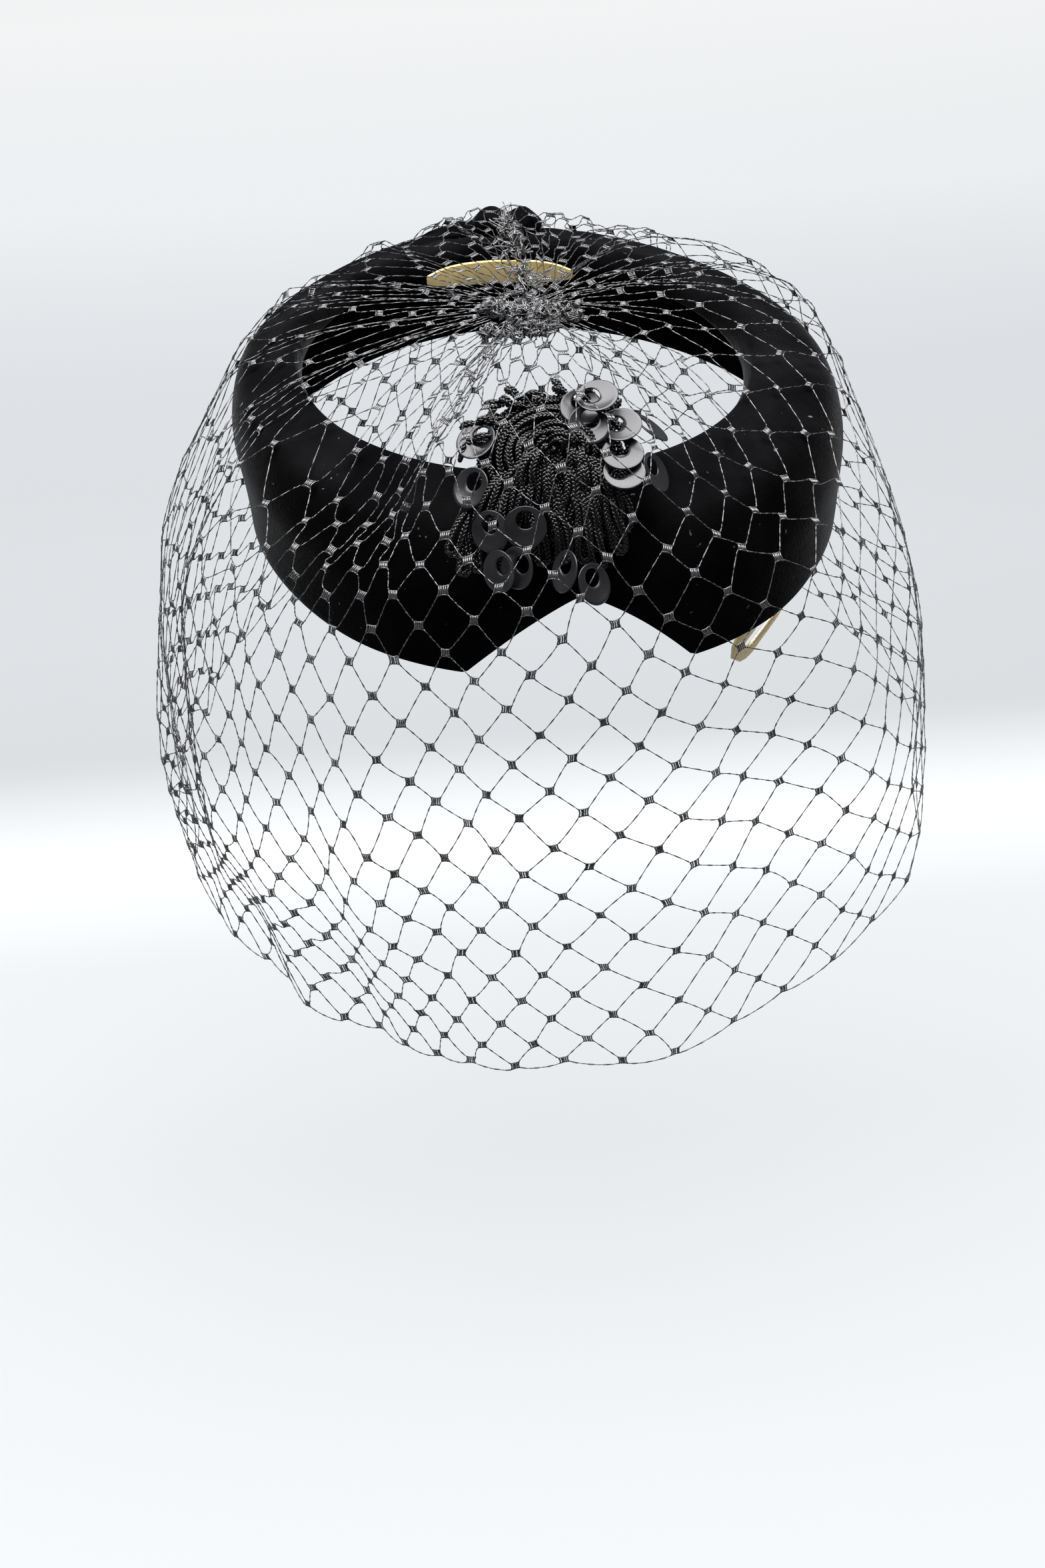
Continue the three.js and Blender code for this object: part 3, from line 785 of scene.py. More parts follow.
def disc_mesh(node, look):
    """A thin cupped disc with a rounded rim and a hole off its middle."""
    middle, normal, hole, radius = disc_place(node)
    shift = np.linalg.norm(hole)
    y_axis = unit(hole - normal * (hole @ normal))
    x_axis = np.cross(y_axis, normal)
    columns, rows = 56, 7
    b = np.linspace(0, 2 * np.pi, columns, endpoint=False)[:, None]
    r = np.linspace(0, 1, rows)[None]
    inner = np.stack([look.hole * np.cos(b), look.hole * np.sin(b) + shift], -1)
    outer = np.stack([radius * np.cos(b), radius * np.sin(b)], -1)
    flat = inner * (1 - r[..., None]) + outer * r[..., None]
    away = np.linalg.norm(flat, axis=-1) / radius
    cup = look.cup * away ** 2
    half = look.thickness / 2
    top = np.concatenate([flat, (cup + half)[..., None]], -1)
    under = np.concatenate([flat, (cup - half)[..., None]], -1)[:, ::-1]
    rims = []
    for edge, sign in ((-1, 1), (0, -1)):
        ring = flat[:, edge]
        bulge = unit(ring - (0 if edge else np.array([0, shift]))) * half * sign
        level = cup[:, edge, None]
        rims.append(np.concatenate([ring + bulge, level], -1)[:, None])
    local = np.concatenate([top, rims[0], under, rims[1]], 1)
    points = middle + local @ np.stack([x_axis, y_axis, normal])
    return points, grid_faces(columns, local.shape[1], wrap_rows=True, wrap_columns=True)


def bead(centre, radius):
    """A tiny round bead with its thread hole."""
    columns, rows = 16, 12
    a = np.linspace(0, 2 * np.pi, rows, endpoint=False)[:, None]
    b = np.linspace(0, 2 * np.pi, columns, endpoint=False)[None]
    reach = radius * (0.62 + 0.38 * np.cos(a))
    x, y = reach * np.cos(b), reach * np.sin(b)
    points = np.stack([x, y, 0.7 * radius * np.sin(a) + 0 * b], -1) + centre
    return points.reshape(-1, 3), grid_faces(rows, columns, wrap_rows=True, wrap_columns=True)


# ------------------------------------------------------------------ the net

# Where the net stands off the band over the trim and over the knot: how far, at which turn in
# degrees, and how far that reaches.
STANDS = [(24, 0, 27), (6, 180, 16)]
# The turn at which the net is slack over the band, and how far that reaches.
SLACK_TURN = (120, 34)
# Places on the band's section that the net passes, and its share of standing off at each. It
# hangs free from a little below the last of them.
OVER_BAND = {"place": [0.29, 0.43, 0.57], "share": [1, 1, 0.85]}
FREE_BELOW = 13
VEIL_RADIUS = 120
MOST_ROWS = 60
NET_PIECES = ["net_fall", "net_crown", "net_fall_knots", "net_crown_knots", "net_gather",
              "net_seam"]


def fall_point(phi, level):
    """Where the veil hangs at this turn and level."""
    side = np.where(np.sin(phi) < 0, read(FALL, "left", level), read(FALL, "right", level))
    long = np.where(np.cos(phi) > 0, read(FALL, "front", level), read(FALL, "back", level))
    return np.stack([side * np.sin(phi), -long * np.cos(phi), level], -1)


class NetSurface:
    """The surface that the net lies on, read by turn and by distance above the hem."""

    def __init__(self, look):
        self.turns = np.linspace(-np.pi, np.pi, 361)
        self.curves = self.paths(self.turns, look)
        steps = np.linalg.norm(np.diff(self.curves, axis=1), axis=2)
        self.lengths = np.concatenate([np.zeros((len(steps), 1)), np.cumsum(steps, 1)], 1)
        self.total = self.lengths[:, -1]

    def paths(self, phi, look):
        """The net's way out from the gather, over the band and down, at each turn."""
        turn = turn_of(phi)
        stand = sum(height * hump(turn, middle, reach) for height, middle, reach in STANDS)
        slack = look.slack * hump(np.degrees(phi), *SLACK_TURN)
        clear = look.clear + np.array(OVER_BAND["share"]) * (stand + slack)[:, None]
        t = np.broadcast_to(np.array(OVER_BAND["place"]), clear.shape)
        over = worn(band_points(phi, t, clear))
        gather = np.broadcast_to(np.array(GATHER, float), over[:, 0].shape)
        spread = []
        for way in (0.35, 0.7):
            point = gather * (1 - way) + over[:, 0] * way
            point[:, 2] += 2 * math.sin(math.pi * way) + 0.3 * way * stand
            spread.append(point)
        hem = read(HEM, "level", turn) + HEM_SKEW * np.sin(phi)
        top = over[:, 2, 2] - FREE_BELOW
        fall = [fall_point(phi, top * (1 - way) + hem * way) for way in (0, 0.15, 0.35, 0.65, 1)]
        controls = np.stack([gather, *spread, over[:, 0], over[:, 1], over[:, 2], *fall], 1)
        return spline(controls, np.broadcast_to(np.linspace(0, 1, 241), (len(phi), 241)))

    def place(self, phi):
        """Where a turn lies among the curves."""
        return (np.asarray(phi) + np.pi) % (2 * np.pi) / (2 * np.pi) * (len(self.turns) - 1)

    def at(self, phi, above_hem):
        """Points at turns and distances above the hem, both of one shape."""
        place = self.place(phi)
        i = np.clip(place.astype(int), 0, len(self.turns) - 2)
        w = (place - i)[..., None]
        return self.on_curve(i, above_hem) * (1 - w) + self.on_curve(i + 1, above_hem) * w

    def on_curve(self, i, above_hem):
        """Points of the curves i at distances above the hem."""
        s = np.clip(self.total[i] - above_hem, 0, self.total[i])
        lengths = self.lengths[i]
        k = np.sum(lengths[..., 1:-1] <= s[..., None], -1)
        low = np.take_along_axis(lengths, k[..., None], -1)[..., 0]
        high = np.take_along_axis(lengths, k[..., None] + 1, -1)[..., 0]
        w = ((s - low) / np.maximum(high - low, 1e-9))[..., None]
        return self.curves[i, k] * (1 - w) + self.curves[i, k + 1] * w

    def value(self, values, phi):
        """A value kept for every curve, at any turn."""
        return np.interp(self.place(phi), np.arange(len(self.turns)), values)

    def reach(self, phi, above_hem):
        """How far from the gather, along the net, a place above the hem lies."""
        return self.value(self.total, phi) - above_hem

    def rows(self, look):
        """How far above the hem each row of knots lies, at every curve.

        The threads between knots all have one length, so rows lie closer where the meshes
        are pulled wide and further apart where they are drawn together.
        """
        rows = [np.full(len(self.turns), 0.15 * look.mesh_height)]
        step = self.turns[1] - self.turns[0]
        side = math.hypot(look.mesh_width / 2, look.mesh_height / 2)
        least = 0.45 * side
        while (rows[-1] < self.total).any() and len(rows) < MOST_ROWS:
            here = self.at(self.turns, rows[-1])
            across = np.linalg.norm(np.roll(here[:-1], -1, 0) - here[:-1], axis=1) / step
            half = np.append(across, across[0]) * math.pi / look.columns
            rise = np.sqrt(np.maximum(side ** 2 - half ** 2, least ** 2))
            rows.append(rows[-1] + evened(rise, reach=14))
        return rows


def evened(values, reach):
    """Values kept at turns, each averaged with its neighbours to either side."""
    weights = np.hanning(2 * reach + 3)[1:-1]
    once_round = np.concatenate([values[-1 - reach:-1], values, values[1:1 + reach]])
    return np.convolve(once_round, weights / weights.sum(), "valid")


# Pleats of the net round the gather: how strong in radians, how many round and their start.
PLEATS = [(0.045, 7, 0.5), (0.028, 13, 2.1), (0.010, 23, 0.7)]
# Where it lies smooth: at which turn in degrees, how far that reaches and how smooth.
SMOOTH = [(0, 27, 0.95), (55, 32, 0.6)]
# Waves that climb the net: how strong in millimetres, how many round and how steep.
LIFTS = [(2.5, 4, 50), (1.5, 9, -33)]
BILLOWS = [(2.2, 11, 70), (1.6, 17, -48)]


def climbing(waves, phi, above_hem):
    """The sum of waves that climb the net."""
    return sum(size * np.sin(count * phi + above_hem / rise) for size, count, rise in waves)


def pulled_round(phi, turn, above_hem, reach):
    """How far the net is pulled round: drawn to one side, pleated, slanted and wavy."""
    # Meshes lie wide on the right of the front, closer to either side, and lean as they rise.
    squeeze = 0.22 * np.sin(phi - 0.87) + 0.11 * np.sin(2 * phi - 1.74) + 0.277
    squeeze = squeeze - 0.0011 * (above_hem - 60)
    # Pleats fade out below the band and where the net lies smooth.
    pleated = 1 - 0.8 * smoothstep(reach, 90, 170)
    for middle, width, share in SMOOTH:
        pleated = pleated * (1 - share * hump(turn, middle, width, 4))
    slant = hump(turn, -40, 24) * (1 - smoothstep(reach, 50, 145))
    pleats = pleated * (1 + 0.45 * slant) * sum(
        size * np.sin(count * phi + start) for size, count, start in PLEATS)
    # Slow waves, a long slant on the left and fullness drawn round on the right.
    slow = 0.03 * np.sin(3 * phi + 0.6) * np.sin(above_hem / 60)
    slow = slow + 0.016 * np.sin(5 * phi - above_hem / 45) + 0.26 * slant
    slow = slow + 0.32 * hump(turn, 60, 30) * (1 - smoothstep(reach, 50, 170))
    return squeeze + pleats + slow


def drape(phi, above_hem, reach):
    """How the net is pulled askew: changes of turn, of height, and standing off."""
    turn = np.degrees((phi + np.pi) % (2 * np.pi) - np.pi)
    # It billows where it hangs free and puffs up a little over the band.
    stand = smoothstep(reach, 105, 180) * climbing(BILLOWS, phi, above_hem)
    puff = smoothstep(reach, 10, 40) * (1 - smoothstep(reach, 110, 140))
    stand = stand + 0.9 * puff * (1 + np.sin(19 * phi + reach / 17))
    # Its rows sink on the left and a little on the right, but stay put at hem and gather.
    askew = 36 * np.sin(phi) * (1 - 1.3 * smoothstep(turn, -10, 75))
    askew = askew * smoothstep(above_hem, 0, 90) * smoothstep(reach, 0, 85)
    lift = climbing(LIFTS, phi, above_hem)
    lift = lift * smoothstep(above_hem, 0, 30) * smoothstep(reach, 0, 40) + askew
    return pulled_round(phi, turn, above_hem, reach), lift, stand


def net_points(surface, phi, above_hem):
    """Points of the draped net."""
    reach = surface.reach(phi, above_hem)
    swing, lift, stand = drape(phi, above_hem, reach)
    points = surface.at(phi + swing, above_hem + lift)
    level = smoothstep(reach, 70, 120)
    outward = np.stack([np.sin(phi) * level, -np.cos(phi) * level, 1.02 - level], -1)
    return points + unit(outward) * stand[..., None]


def net_frame(surface, phi, above_hem):
    """Points of the net with the directions round it, down it and out of it."""
    turn, fall = 0.012, 1.5
    here = net_points(surface, phi, above_hem)
    around = unit(net_points(surface, phi + turn, above_hem)
                  - net_points(surface, phi - turn, above_hem))
    down = unit(net_points(surface, phi, above_hem - fall)
                - net_points(surface, phi, above_hem + fall))
    out = unit(np.cross(down, around))
    return here, unit(np.cross(out, down)), down, out


def net_grid(surface, look, rng):
    """The knots of the net: their frames, their half sizes and which lie clear of the gather."""
    rows = surface.rows(look)
    k, i = np.meshgrid(np.arange(len(rows)), np.arange(look.columns), indexing="ij")
    phi = 2 * np.pi * (i + 0.5 * (k % 2)) / look.columns
    above = np.stack([surface.value(row, phi[n]) for n, row in enumerate(rows)])
    phi = phi + rng.normal(0, look.unevenness / VEIL_RADIUS, phi.shape)
    above = above + rng.normal(0, look.unevenness, phi.shape)
    here, around, down, out = net_frame(surface, phi, above)
    room = np.linalg.norm(np.roll(here, -1, 1) - here, axis=-1)
    wide = np.clip(0.3 * room, 0.35, look.knot / 2) * rng.uniform(0.88, 1.08, phi.shape)
    high = look.knot / 2 * rng.uniform(0.78, 0.95, phi.shape)
    lean = rng.normal(0, 0.16, phi.shape)[..., None]
    down = unit(down + around * lean)
    return {"k": k, "i": i, "phi": phi, "above": above, "here": here, "around": around,
            "down": down, "out": out, "wide": wide, "high": high,
            "there": surface.reach(phi, above) > look.gather_radius}


def knot_corner(grid, at, side, low):
    """The corners of knots, to one side and above or below."""
    return (grid["here"][at] + grid["around"][at] * (grid["wide"][at] * side)[..., None]
            + grid["down"][at] * (grid["high"][at] * low)[..., None])


def net_threads(surface, grid, look, rng):
    """The threads between the knots."""
    columns = look.columns
    upper, column = np.meshgrid(np.arange(1, len(grid["k"])), np.arange(columns), indexing="ij")
    parts = []
    for side in (-1, 1):
        shift = np.where(upper % 2 == 1, max(side, 0), min(side, 0))
        start = (upper, column)
        end = (upper - 1, (column + shift) % columns)
        both = grid["there"][start] & grid["there"][end]
        start, end = ((rows[both], places[both]) for rows, places in (start, end))
        lead = grid["around"][start] * side
        middle = net_points(surface, grid["phi"][start] + side * 0.5 * np.pi / columns,
                            (grid["above"][start] + grid["above"][end]) / 2)
        reach = surface.reach(grid["phi"][start], grid["above"][start])
        slack = 1.2 - 1.1 * smoothstep(reach, 90, 150)
        slack = np.minimum(slack, 0.6 * grid["wide"][start])
        parts.append((knot_corner(grid, start, side, 1), knot_corner(grid, end, -side, -1),
                      middle, lead, grid["around"][end] * side, slack[:, None],
                      grid["out"][start]))
    a, b, middle, lead, trail, slack, out = (np.concatenate(part) for part in zip(*parts))
    paths = thread_paths(a, b, middle, lead, trail, slack, rng)
    return paths, np.broadcast_to(out[:, None], paths.shape)


def thread_paths(a, b, middle, lead, trail, slack, rng):
    """Threads that leave a knot sideways where slack, cross to the next and enter it so."""
    most_bend, most_bow, wander = 0.22, 1.0, 0.12
    t = np.linspace(0, 1, 8)[None, :, None]
    span = np.linalg.norm(b - a, axis=-1, keepdims=True)
    bend = np.minimum(slack, most_bend * span)
    c, d = a + lead * bend, b - trail * bend
    a, b, c, d = (p[:, None] for p in (a, b, c, d))
    paths = a * (1 - t) ** 3 + 3 * c * t * (1 - t) ** 2 + 3 * d * t * t * (1 - t) + b * t ** 3
    bow = middle - paths[:, 3:5].mean(1)
    size = np.maximum(np.linalg.norm(bow, axis=-1, keepdims=True), 1e-6)
    bow = 0.5 * bow * np.minimum(1, most_bow / size)
    bow = bow + rng.normal(0, wander, bow.shape)
    return paths + 4 * t * (1 - t) * bow[:, None]


def hem_paths(grid, look):
    """The selvedge: shallow loops that hang between the lowest knots."""
    here = np.arange(look.columns)
    following = (here + 1) % look.columns
    a = knot_corner(grid, (0, here), 1, 1)[:, None]
    b = knot_corner(grid, (0, following), -1, 1)[:, None]
    t = np.linspace(0, 1, 8)[None, :, None]
    dip = look.hem_dip * (4 * t * (1 - t)) ** 0.8
    paths = a * (1 - t) + b * t + dip * np.array([0, 0, -1.0])
    return paths, np.broadcast_to(grid["out"][0, here][:, None], paths.shape)


def twisted(paths, normals, radius, rng):
    """Two-ply thread along paths: a flat section that turns on its way."""
    full_turns = 1.5
    turns = np.linspace(0, 2 * np.pi * full_turns, paths.shape[1])[None]
    turns = turns + rng.uniform(0, 6, (len(paths), 1))
    return sweep(paths, normals, radius * 1.2, radius * 0.75, sides=4, turn=turns)


def knot_patches(here, around, down, out, wide, high, look, rng):
    """Square knots: upright bars side by side, held by a bent thread above and below."""
    bars, waist, bulge, stray = 5, 0.82, 0.14, 0.05
    parts = []
    t = np.array([-1.0, 0.0, 1.0])[None, :, None]
    for bar in range(bars):
        share = bar / (bars - 1) * 2 - 1
        x = (share * wide * 0.9)[:, None, None] * (waist + (1 - waist) * t * t)
        x = x + rng.normal(0, stray, (len(wide), 1, 1))
        z = bulge * (1 - t * t) + rng.normal(0, stray, (len(wide), 1, 1))
        paths = (here[:, None] + around[:, None] * x + down[:, None] * t * high[:, None, None]
                 + out[:, None] * z)
        normals = np.broadcast_to(out[:, None], paths.shape)
        girth = np.minimum(look.thread * 1.35, wide * 0.3)[:, None]
        parts.append(sweep(paths, normals, girth, look.thread, sides=4))
    for edge in (-1, 1):
        dip = edge * (1 - 0.2 * (1 - t * t)) * high[:, None, None]
        paths = here[:, None] + down[:, None] * dip + around[:, None] * t * wide[:, None, None]
        normals = np.broadcast_to(out[:, None], paths.shape)
        parts.append(sweep(paths, normals, look.thread * 1.1, look.thread * 1.1, sides=4))
    return join(parts)


def net_meshes(surface, look):
    """The threads of the net's fall and of its crown, and the knots of each."""
    rng = np.random.default_rng(look.seed)
    grid = net_grid(surface, look, rng)
    paths, normals = net_threads(surface, grid, look, rng)
    order = np.argsort(paths[:, 4, 2])
    meshes = [twisted(paths[part], normals[part], look.thread, rng)
              for part in np.array_split(order, 2)]
    meshes[0] = join([meshes[0], twisted(*hem_paths(grid, look), look.thread * 1.1, rng)])
    there = grid["there"]
    knots = [grid[name][there] for name in ("here", "around", "down", "out", "wide", "high")]
    order = np.argsort(knots[0][:, 2])
    for part in np.array_split(order, 2):
        meshes.append(knot_patches(*(values[part] for values in knots), look, rng))
    return meshes


def crumple(centres, outward, look, rng, length, knot_share):
    """Net crushed together about the given middles: curled threads and creased knots."""
    count = len(centres)
    u = unit(outward + rng.normal(0, 0.7, (count, 3)))
    v = unit(np.cross(u, rng.normal(0, 1, (count, 3))))
    t = np.linspace(-0.5, 0.5, 7)[None, :, None]
    size = rng.uniform(0.5, 1.2, (count, 1, 1)) * length
    curl = rng.uniform(-1.3, 1.3, (count, 1, 1)) * size
    paths = centres[:, None] + u[:, None] * t * size + v[:, None] * curl * 4 * t * t
    normals = np.broadcast_to(v[:, None], paths.shape)
    threads = twisted(paths, normals, look.thread, rng)
    pick = rng.random(count) < knot_share
    here, out = centres[pick], unit(np.cross(u, v)[pick] + rng.normal(0, 0.5, (pick.sum(), 3)))
    around = unit(np.cross(u[pick], out))
    down = np.cross(out, around)
    wide = look.knot / 2 * rng.uniform(0.55, 1.05, pick.sum())
    high = look.knot / 2 * rng.uniform(0.8, 1.2, pick.sum())
    return join([threads, knot_patches(here, around, down, out, wide, high, look, rng)])


# Tufts of the gather: shift from its middle, half size, and how many threads.
GATHER_TUFTS = [
    ((0, -17, 0), (8, 11, 4.5), 260),
    ((-12, -23, -1.5), (6, 4, 2), 45),
    ((10, -10, 0), (6, 6, 2.5), 45),
    ((-2, -3, -1), (10, 6, 2), 90),
    ((-9, -2, 0), (7, 5, 2), 70),
]


def gather_mesh(look):
    """The crushed end of the net at the crown, with tufts to either side."""
    rng = np.random.default_rng(look.seed + 5)
    parts = []
    for shift, size, count in GATHER_TUFTS:
        direction = unit(rng.normal(0, 1, (count, 3)) * [1, 1, 0.7] + [0, 0, 0.3])
        reach = rng.uniform(0.05, 1, (count, 1)) ** 0.55
        centres = np.array(GATHER) + np.array(shift) + direction * np.array(size) * reach
        parts.append(crumple(centres, direction * [1, 1, 0.6], look, rng, length=3.2,
                             knot_share=0.9))
    return join(parts)


def seam_mesh(surface, look):
    """The net drawn together in a rope from the gather towards the knot at the back."""
    rng = np.random.default_rng(look.seed + 9)
    count, turn, half_width = 120, np.pi - 0.06, 1.9
    reach = rng.uniform(2, 84, count)
    phi = turn + rng.normal(0, 1, count) * half_width / np.maximum(reach, 12)
    above = surface.value(surface.total, phi) - reach
    centres = surface.at(phi, above) + rng.normal(0, 0.6, (count, 3)) + [0, 0, 0.8]
    ahead = surface.at(phi, above - 2)
    return crumple(centres, unit(ahead - centres), look, rng, length=4.5, knot_share=0.5)


# ------------------------------------------------------------------ what a user may change

def colour_property(label, description, default):
    """A colour that a user may change."""
    return bpy.props.FloatVectorProperty(name=label, description=description, default=default,
                                         size=3, subtype="COLOR", min=0, max=1)


def size_property(label, description, default, high):
    """A size in millimetres that a user may change."""
    return bpy.props.FloatProperty(name=label, description=description, default=default,
                                   min=0, max=high)


def share_property(label, description, default):
    """A share from 0 to 1 that a user may change."""
    return bpy.props.FloatProperty(name=label, description=description, default=default,
                                   min=0, max=1, subtype="FACTOR")


class HAT_PG_velvet(bpy.types.PropertyGroup):
    """The velvet of the ring and the knot."""

    colour: colour_property("Colour", "Colour deep in the pile", (0.0008, 0.0008, 0.0009))
    sheen: share_property("Sheen", "How strongly the pile greys where it turns away", 0.065)
    sheen_spread: share_property("Sheen spread", "How far that grey reaches inward", 0.24)
    sheen_tint: colour_property("Sheen colour", "Colour of the turned pile", (0.8, 0.82, 0.84))
    dent: size_property("Dents", "Depth of the soft dents, mm", 0.5, 3)


class HAT_PG_cord(bpy.types.PropertyGroup):
    """The plaited cord of the trim."""

    colour: colour_property("Colour", "Colour of the cord", (0.0006, 0.0006, 0.0007))
    gloss: share_property("Gloss", "Strength of the cord's shine", 0.17)
    width: size_property("Width", "Width of the plaited cord, mm", 2.3, 5)
    strand: size_property("Strand", "Radius of one strand, mm", 0.42, 2)
    pitch: size_property("Pitch", "Length of one turn of the plait, mm", 3.6, 12)
    step: size_property("Step", "Spacing of the points along the cord, mm", 0.32, 2)
    seed: bpy.props.IntProperty(name="Seed", description="Lay of the loops", default=7, min=0)


class HAT_PG_paillette(bpy.types.PropertyGroup):
    """The round discs on the trim."""

    colour: colour_property("Colour", "Colour of the discs", (0.0095, 0.0095, 0.0105))
    metal: share_property("Metal", "How metallic the discs look", 0.4)
    roughness: share_property("Roughness", "How dull the discs are", 0.24)
    hole: size_property("Hole", "Radius of the hole, mm", 2.85, 6)
    cup: size_property("Cup", "How far the rim stands up, mm", 0.7, 3)
    thickness: size_property("Thickness", "Thickness of a disc, mm", 0.4, 2)
    bead: size_property("Bead", "Radius of a clear bead, mm", 1.3, 3)


class HAT_PG_grip(bpy.types.PropertyGroup):
    """The plastic hair grips."""

    colour: colour_property("Colour", "Colour of the aged plastic", (0.5, 0.38, 0.14))
    clearness: share_property("Clearness", "How much light the plastic lets through", 0.35)


class HAT_PG_net(bpy.types.PropertyGroup):
    """The birdcage veil."""

    colour: colour_property("Colour", "Colour of the thread", (0.012, 0.012, 0.013))
    glint: share_property("Glint", "How silky the thread is", 0.25)
    columns: bpy.props.IntProperty(name="Meshes round", description="Meshes round the veil",
                                   default=49, min=8, max=120)
    mesh_width: size_property("Mesh width", "Width of one mesh as it hangs, mm", 17.5, 40)
    mesh_height: size_property("Mesh height", "Height of one mesh as it hangs, mm", 17, 40)
    thread: size_property("Thread", "Half the thickness of the thread, mm", 0.19, 1)
    knot: size_property("Knot", "Side of a square knot, mm", 2.9, 8)
    hem_dip: size_property("Hem dip", "How far the loops of the hem hang, mm", 0.8, 12)
    clear: size_property("Stand-off", "How far the net lies off the velvet, mm", 0.9, 5)
    slack: size_property("Slack", "How far the net stands up where it is slack, mm", 7, 20)
    unevenness: size_property("Unevenness", "How far knots stray from a true net, mm", 0.5, 5)
    gather_radius: size_property("Gather", "Radius of the gather at the crown, mm", 4, 40)
    seed: bpy.props.IntProperty(name="Seed", description="Lay of the net", default=3, min=0)


class HAT_PG_stage(bpy.types.PropertyGroup):
    """The floor, the lights and the room."""

    colour: colour_property("Room", "Colour of the room where it is seen", (0.86, 0.89, 0.93))
    floor: bpy.props.FloatProperty(name="Floor", description="Level of the floor",
                                   default=-0.30, unit="LENGTH")
    key: bpy.props.FloatProperty(name="Overhead light", description="Power of the light above",
                                 default=200.0, min=0, unit="POWER")
    fill: bpy.props.FloatProperty(name="Front light", description="Power of the light in front",
                                  default=0.2, min=0, unit="POWER")
    room: share_property("Room light", "Strength of the even light all round", 0.12)


class HAT_PG_settings(bpy.types.PropertyGroup):
    """All that a user may change on the hat."""

    velvet: bpy.props.PointerProperty(type=HAT_PG_velvet, name="Velvet",
                                      description="The ring and the knot")
    cord: bpy.props.PointerProperty(type=HAT_PG_cord, name="Cord", description="The trim")
    paillette: bpy.props.PointerProperty(type=HAT_PG_paillette, name="Paillettes",
                                         description="The discs on the trim")
    grip: bpy.props.PointerProperty(type=HAT_PG_grip, name="Grips",
                                    description="The plastic hair grips")
    net: bpy.props.PointerProperty(type=HAT_PG_net, name="Net", description="The veil")
    stage: bpy.props.PointerProperty(type=HAT_PG_stage, name="Stage",
                                     description="Floor, lights and camera")


# ------------------------------------------------------------------ operators

# The camera's aim and distance in metres, its angles in degrees and its lens in millimetres.
CAMERA = {"aim": (-0.0139, -0.0593, -0.1240), "distance": 0.852, "azimuth": -6, "elevation": 26,
          "roll": -1.5, "lens": 62, "sensor": 36}


# Where each light stands, what it faces and how large it is, in metres.
LIGHTS = {
    "overhead": ((-0.15, 0.0, 1.1), (-0.15, 0.0, -0.1), (2.3, 1.1)),
    "front": ((-0.9, -1.5, 0.9), (0, 0, -0.1), (0.8, 0.8)),
}


class HAT_OT_camera(bpy.types.Operator):
    """Set up the camera in front of the hat and a little above it"""

    bl_idname = "hat.camera"
    bl_label = "Camera"

    def execute(self, context):
        """Adds the camera."""
        turn, rise, roll = (math.radians(CAMERA[key]) for key in ("azimuth", "elevation", "roll"))
        back = Vector((math.sin(turn) * math.cos(rise), -math.cos(turn) * math.cos(rise),
                       math.sin(rise)))
        level = Vector((math.cos(turn), math.sin(turn), 0))
        upright = back.cross(level)
        right = math.cos(roll) * level + math.sin(roll) * upright
        data = bpy.data.cameras.new("camera")
        data.lens = CAMERA["lens"]
        data.sensor_width = CAMERA["sensor"]
        data.sensor_fit = "AUTO"
        data.clip_start = 0.01
        camera = bpy.data.objects.new("camera", data)
        facing = Matrix((right, back.cross(right), back)).transposed().to_4x4()
        camera.matrix_world = Matrix.Translation(
            Vector(CAMERA["aim"]) + back * CAMERA["distance"]) @ facing
        context.scene.collection.objects.link(camera)
        context.scene.camera = camera
        return {"FINISHED"}


class HAT_OT_velvet_ring(bpy.types.Operator):
    """Cover the ring in velvet"""

    bl_idname = "hat.velvet_ring"
    bl_label = "Velvet ring"

    def execute(self, context):
        """Adds the band's fine skin."""
        look = context.scene.hat.velvet
        points, faces = ring_mesh(look)
        add_mesh("velvet_band", points, faces, material("velvet"), ["velvet_ring"])
        return {"FINISHED"}


class HAT_OT_back_knot(bpy.types.Operator):
    """Fold the velvet knot at the back"""

    bl_idname = "hat.back_knot"
    bl_label = "Back knot"

    def execute(self, context):
        """Adds the knot."""
        points, faces = join([fold_lobe(*fold) for fold in KNOT_FOLDS])
        knot = add_mesh("velvet_knot", worn(points), faces, material("velvet"),
                        ["back_knot"])
        soften(knot, voxel=0.6, rounds=3)
        return {"FINISHED"}


class HAT_OT_cord_trim(bpy.types.Operator):
    """Sew the loops of plaited cord to the front"""

    bl_idname = "hat.cord_trim"
    bl_label = "Cord trim"

    def execute(self, context):
        """Adds the loops and their bed."""
        look = context.scene.hat.cord
        for name, (points, faces) in zip(CORD_PIECES, cord_meshes(look)):
            add_mesh(name, points, faces, material("cord"), ["cord_pompom"])
        points, faces = bed_mesh()
        add_mesh("cord_bed", points, faces, material("velvet"), ["cord_pompom"])
        return {"FINISHED"}


class HAT_OT_paillettes(bpy.types.Operator):
    """Hang the paillettes and their seed beads on the trim"""

    bl_idname = "hat.paillettes"
    bl_label = "Paillettes"

    def execute(self, context):
        """Adds one disc for each disc of the frame."""
        look = context.scene.hat.paillette
        beads = []
        for node in sorted(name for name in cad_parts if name.startswith("paillette")):
            points, faces = disc_mesh(node, look)
            add_mesh(node.replace("paillette", "disc"), points, faces, material("paillette"),
                     [node])
        for x, y in BEADS:
            spot = dome_to_world(np.array([x, y, core_height(x, y, -0.2)]))
            beads.append(bead(spot, look.bead))
        points, faces = join(beads)
        add_mesh("seed_beads", points, faces, material("bead"))
        return {"FINISHED"}


